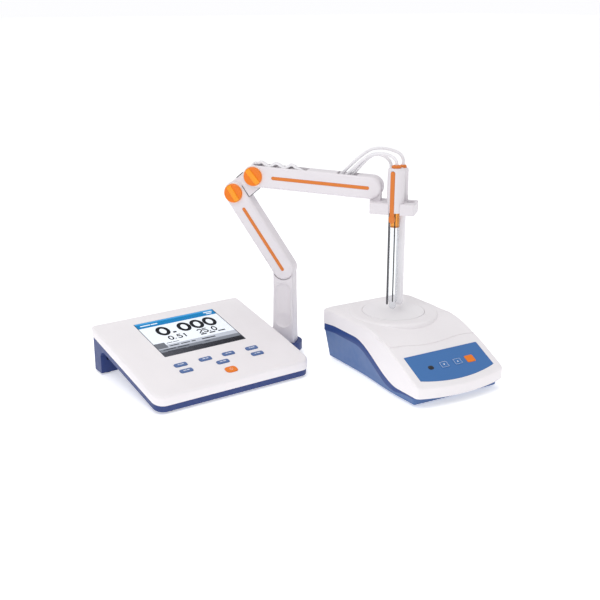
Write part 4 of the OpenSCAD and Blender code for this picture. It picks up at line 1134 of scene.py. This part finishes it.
def stirrer_plan(inset=0, front=ST_FRONT, bow=BOW_R):
    """Plan outline with a bowed front edge and rounded corners."""
    corner, back_corner = 6, BACK_CORNER
    half = ST_W / 2 - inset
    reach = half - corner
    lean = math.degrees(math.asin(reach / bow))
    front += inset
    outline = []
    for i in range(25):
        angle = math.radians(-lean + 2 * lean * i / 24)
        normal = Vector((math.sin(angle), -math.cos(angle)))
        outline.append((Vector((0, front + bow)) + normal * bow, normal))
    centre = outline[-1][0] - outline[-1][1] * corner
    half = centre.x + corner
    outline += arc(centre.x, centre.y, corner, -90 + lean, 0, 8)[1:]
    back = ST_BACK - inset
    last = back - back_corner
    sides = [centre.y + (last - centre.y) * i / 60 for i in range(1, 60)]
    outline += [(Vector((half, y)), Vector((1, 0))) for y in sides]
    outline += arc(half - back_corner, last, back_corner, 0, 90, 8)
    width = half - back_corner
    outline += [(Vector((width - 2 * width * i / 16, back)), Vector((0, 1))) for i in range(1, 16)]
    outline += arc(-half + back_corner, last, back_corner, 90, 180, 8)
    outline += [(Vector((-half, y)), Vector((-1, 0))) for y in reversed(sides)]
    outline += arc(-centre.x, centre.y, corner, 180, 270 - lean, 8)[:-1]
    return outline


def drawn_in(outline, inset, height):
    """Ring of points inside an outline; height is a function of y."""
    return [(p.x - n.x * inset, p.y - n.y * inset, height(p.y - n.y * inset)) for p, n in outline]


def join_points(obj):
    """Joins the points of a mesh that coincide."""
    mesh = bmesh.new()
    mesh.from_mesh(obj.data)
    bmesh.ops.remove_doubles(mesh, verts=mesh.verts, dist=0.02 * MM)
    bmesh.ops.dissolve_degenerate(mesh, edges=mesh.edges, dist=0.001 * MM)
    bmesh.ops.recalc_face_normals(mesh, faces=mesh.faces)
    mesh.to_mesh(obj.data)
    mesh.free()
    smooth(obj)


def ringed(name, loops, place, material):
    """Mesh of closed rings of equal length."""
    obj = make(name, [place @ Vector(p) for ring in loops for p in ring],
               ring_faces(len(loops), len(loops[0])), material)
    join_points(obj)
    return obj


def stirrer_shell():
    """White top: edge band, rounded edge, and a surface drawn in to a line along the middle."""
    outline = stirrer_plan()
    edge_r, steps, inward = 2.4, 6, 46
    spine_front, spine_back = ST_FRONT + 75, ST_BACK - 70
    outer = [drawn_in(outline, 0.3, stirrer_seam),
             drawn_in(outline, 0, lambda y: stirrer_seam(y) + 0.4)]
    for i in range(steps + 1):
        t = math.radians(90 * i / steps)
        inset = edge_r * (1 - math.cos(t))
        outer.append([(x, y, deck(x, y) - edge_r * (1 - math.sin(t)))
                      for x, y, _ in drawn_in(outline, inset, stirrer_seam)])
    rim = outer[-1]
    top = []
    for i in range(1, inward + 1):
        ring = []
        for x, y, _ in rim:
            spine = Vector((0, min(max(y, spine_front), spine_back)))
            p = Vector((x, y)).lerp(spine, i / inward)
            ring.append((p.x, p.y, deck(p.x, p.y)))
        top.append(ring)
    under = [[(x, y, z - WALL) for x, y, z in ring] for ring in reversed(top)]
    loops = under + [drawn_in(outline, WALL, stirrer_seam)] + outer + top
    shell = ringed("stirrer_cover", loops, STIRRER, WHITE)
    raised = turned("raised_disc", [(0.1, 70), (64.5, 70), (64.5, 76.6), (64.2, 78), (63.4, 79.4),
                            (62, 80.4), (60, 80.9), (56, 81), (0.1, 81)],
            STIRRER @ shift(0, PLATE_Y), WHITE, 128)
    cut(raised, turned("cutter", [(0.1, 60), (59, 60), (59, 76), (57, 77.6), (0.1, 77.6)],
            STIRRER @ shift(0, PLATE_Y), None, 128))
    weld(shell, raised)
    cut(shell,
        cutter(circle(PLATE_R + 0.6, 0, PLATE_Y, 96), 78.9, 90, STIRRER),
        cutter(panel_outline(0.25), -1.7, 8, ON_PANEL),
        seam_cutter())
    return piece(soften(shell, 0.25, 2, 50), "stirrer", "shell_white", "stirrer_top")


SEAM = [(-73.6, -18), (-72.6, -32), (-70.4, -45), (-66.5, -51.5), (-50, -53), (-24, -57.6), (0, -58.6),
        (24, -56.8), (48, -54.6), (72.5, -56.5)]


def seam_cutter():
    """Groove along the S-shaped joint across the top in front of the plate."""
    line = spline([(x, y, 0) for x, y in SEAM], 6)
    return tubes("cutter", [[STIRRER @ Vector((p.x, p.y, deck(p.x, p.y))) for p in line]], 1.1, None)


def panel_outline(grow):
    half = PANEL_W / 2 + grow
    outline = []
    for i in range(25):
        x = -half + 2 * half * i / 24
        angle = math.asin(x / PANEL_BOW)
        y = -PANEL_L - grow + PANEL_BOW * (1 - math.cos(angle))
        outline.append((Vector((x, y)), Vector((math.sin(angle), -math.cos(angle)))))
    outline += arc(half - 1.5, grow - 1.5, 1.5, 0, 90, 4)
    outline += arc(-half + 1.5, grow - 1.5, 1.5, 90, 180, 4)
    return outline


PANEL_KEYS = {"down": (-11.5, 0), "up": (11.5, 0), "power": (33, 0.5)}
PANEL_KEY_Y = -25.4


def panel_key_outline(x, grow):
    half_w, half_l = 6.5 + grow, 5.5 + grow
    return rounded_box(x - half_w, x + half_w, PANEL_KEY_Y - half_l, PANEL_KEY_Y + half_l, 1.5 + grow)


def stirrer_panel():
    foil = stack("panel_foil", panel_outline(0), [(0, -2), (0, -0.15), (0.2, 0)], ON_PANEL, PANEL_BLUE)
    cut(foil, *[cutter(panel_key_outline(x, grow + 0.2), -4, 3, ON_PANEL)
                for x, grow in PANEL_KEYS.values()])
    piece(foil, "stirrer", "panel_blue", "stirrer_panel")
    lens = stack("panel_lens", capsule(-34.6, -32.4, 3.4), [(0, -1), (0, 0.1), (0.5, 0.35)],
                 ON_PANEL @ shift(0, PANEL_KEY_Y), BLACK)
    piece(lens, "stirrer", "dark")
    for name, (x, grow) in PANEL_KEYS.items():
        material = ORANGE if name == "power" else PANEL_BLUE
        cap = stack("panel_key_" + name, panel_key_outline(x, grow),
                    [(0, -3.2), (0, 0.2), (0.35, 0.55), (1.2, 0.6)], ON_PANEL, material)
        slot = "orange" if name == "power" else "panel_blue"
        piece(cap, "stirrer_key_" + name, slot, "stirrer_key_" + name)
        if name == "power":
            continue
        place = ON_PANEL @ shift(x, PANEL_KEY_Y, 0.62)
        frame_line = [place @ Vector((*(p - n * 1.0), 0)) for p, n in
                      rounded_box(-6.5, 6.5, -5.5, 5.5, 1.5)]
        frame_line.append(frame_line[0])
        outline_mark = tubes("panel_mark_" + name, [frame_line], 0.16, MARK)
        piece(outline_mark, "stirrer_key_" + name, slot)
        up = 1 if name == "up" else -1
        tri = [(-1.5, -1.2 * up), (1.5, -1.2 * up), (0, 1.5 * up)]
        if up < 0:
            tri.reverse()
        arrow = stack("panel_arrow_" + name, sharp(*tri), [(0, -0.1), (0, 0.08)], place, MARK)
        piece(arrow, "stirrer_key_" + name, slot)


def stirrer_base():
    """Blue base: a band that follows the seam and a lower body that tapers in to the bench. The band's
    darker blue is painted shade and the body's lighter blue is painted light from the floor.
    """
    edge, taper, low = 1.2, 0.15, 3.2
    band_plan = stirrer_plan(edge, ST_FRONT + 12, 2400)
    half, back = max(p.x for p, _ in band_plan), ST_BACK - edge
    corner_y = back - BACK_CORNER

    def recess(y):
        return stirrer_seam(y) - 2.5 - 8 * soft_step((y + 100) / 60)

    def tapered(extra, height):
        """Ring of the lower body; it tapers with the depth of the recess over it."""
        ring = []
        for p, n in band_plan:
            top = recess(min(p.y, corner_y))
            inset = extra + taper * (top - height(top))
            side = half - inset
            x = min(max(p.x - n.x * inset, -side), side)
            ring.append((x, min(p.y - n.y * inset, back - inset), height(top)))
        return ring

    rings = [
        [(x * 0.9, y * 0.9, 5) for x, y, _ in tapered(3, lambda top: 5)],
        tapered(2.2, lambda top: low),
        tapered(1.6, lambda top: low + 0.6),
        tapered(1.2, lambda top: top - 0.6),
        tapered(0.9, lambda top: top),
        drawn_in(band_plan, 0.2, recess),
        drawn_in(band_plan, 0, lambda y: recess(y) + 0.4),
        drawn_in(band_plan, 0, lambda y: stirrer_seam(y) - 0.3),
        drawn_in(band_plan, 4, lambda y: stirrer_seam(y) - 0.3),
        tapered(4, lambda top: top),
        tapered(4.5, lambda top: 7),
    ]
    count = len(band_plan)
    vertices = [STIRRER @ Vector(p) for ring in rings for p in ring]
    base = make("stirrer_tray", vertices, closed_rings(len(rings), count), BODY_BLUE_PAINTED_LIGHT)
    # The band's faces take the darker blue, painted shade; the rest keep the lighter blue, painted floor
    # light.
    base.data.materials.append(BAND_BLUE_PAINTED_SHADE)
    for index, face in enumerate(base.data.polygons):
        if 4 * count <= index < 8 * count:
            face.material_index = 1
    join_points(base)
    return piece(base, "stirrer", "stirrer_blue", "stirrer_base")


def stirrer():
    stirrer_shell()
    stirrer_panel()
    stirrer_base()
    plate = turned("stir_disc", [(0.1, 79.1), (PLATE_R, 79.1), (PLATE_R, 80.9), (PLATE_R - 0.2, 81.3),
                          (PLATE_R - 0.7, 81.5), (PLATE_R - 2, 81.5), (0.1, 81.45)],
            STIRRER @ shift(0, PLATE_Y), PLATE, 96)
    piece(plate, "stirrer", "plate", "stirrer_plate")
    dress("stirrer_motor", DARK, 0.5)
    dress("stirrer_rotor", STEEL, 0.4)
    dress("stirrer_magnets", DARK, 0.3)
    dress("stirrer_board", BOARD, 0.1)
    dress("stirrer_feet", RUBBER, 0.5)


# ----- stage, light and camera -----

LIGHTS = (                                    # name, place, target, size, watts
    ("key_light", (-0.9, -0.5, 1.5), (0, -0.05, 0.1), 0.9, 7.6),
    ("fill_light", (1.3, -1.2, 0.9), (0, 0, 0.1), 1.4, 1.5),
    ("top_light", (0.1, 0.3, 1.8), (0, 0, 0.1), 1.6, 7),
)


def area_light(name, place, target, size, watts):
    data = bpy.data.lights.new(name, "AREA")
    data.size = size
    data.energy = watts
    light = bpy.data.objects.new(name, data)
    light.location = place
    light.rotation_euler = (Vector(target) - Vector(place)).to_track_quat("-Z", "Y").to_euler()
    bpy.context.scene.collection.objects.link(light)


def stage():
    material, _, shader = new_material("pale_floor")
    set_inputs(shader, {"Base Color": (0.94, 0.94, 0.95, 1), "Roughness": 0.8,
            "Emission Color": (1, 1, 1, 1), "Emission Strength": 0.47})
    reach = 30
    floor = make("floor", [(-reach, -reach, 0), (reach, -reach, 0), (reach, reach, 0), (-reach, reach, 0)],
                 [(0, 1, 2, 3)], material)
    world = bpy.data.worlds.new("studio")
    bpy.context.scene.world = world
    world.use_nodes = True
    tree = world.node_tree
    seen = add_node(tree, "ShaderNodeLightPath").outputs["Is Camera Ray"]
    strength = add_node(tree, "ShaderNodeMapRange", {"Value": seen, "To Min": 0.58, "To Max": 1.0})
    set_inputs(tree.nodes["Background"], {"Color": (0.985, 0.985, 1, 1),
            "Strength": strength.outputs["Result"]})
    for light in LIGHTS:
        area_light(*light)


def camera():
    azimuth, elevation, distance = -35.28, 17.45, 1.34
    target = Vector((-0.0208, -0.0674, 0.1038))
    a, e = math.radians(azimuth), math.radians(elevation)
    back = Vector((math.sin(a) * math.cos(e), -math.cos(a) * math.cos(e), math.sin(e)))
    data = bpy.data.cameras.new("camera")
    data.sensor_width = 36
    data.lens = 57.09
    cam = bpy.data.objects.new("camera", data)
    cam.location = target + back * distance
    cam.rotation_euler = back.to_track_quat("Z", "Y").to_euler()
    bpy.context.scene.collection.objects.link(cam)
    bpy.context.scene.camera = cam
    bpy.context.scene.view_settings.view_transform = "Standard"


console()
arm_assembly()
holder()
ph_electrode()
ref_electrode()
temp_probe()
arches()
arm_leads()
stirrer()
stage()
camera()
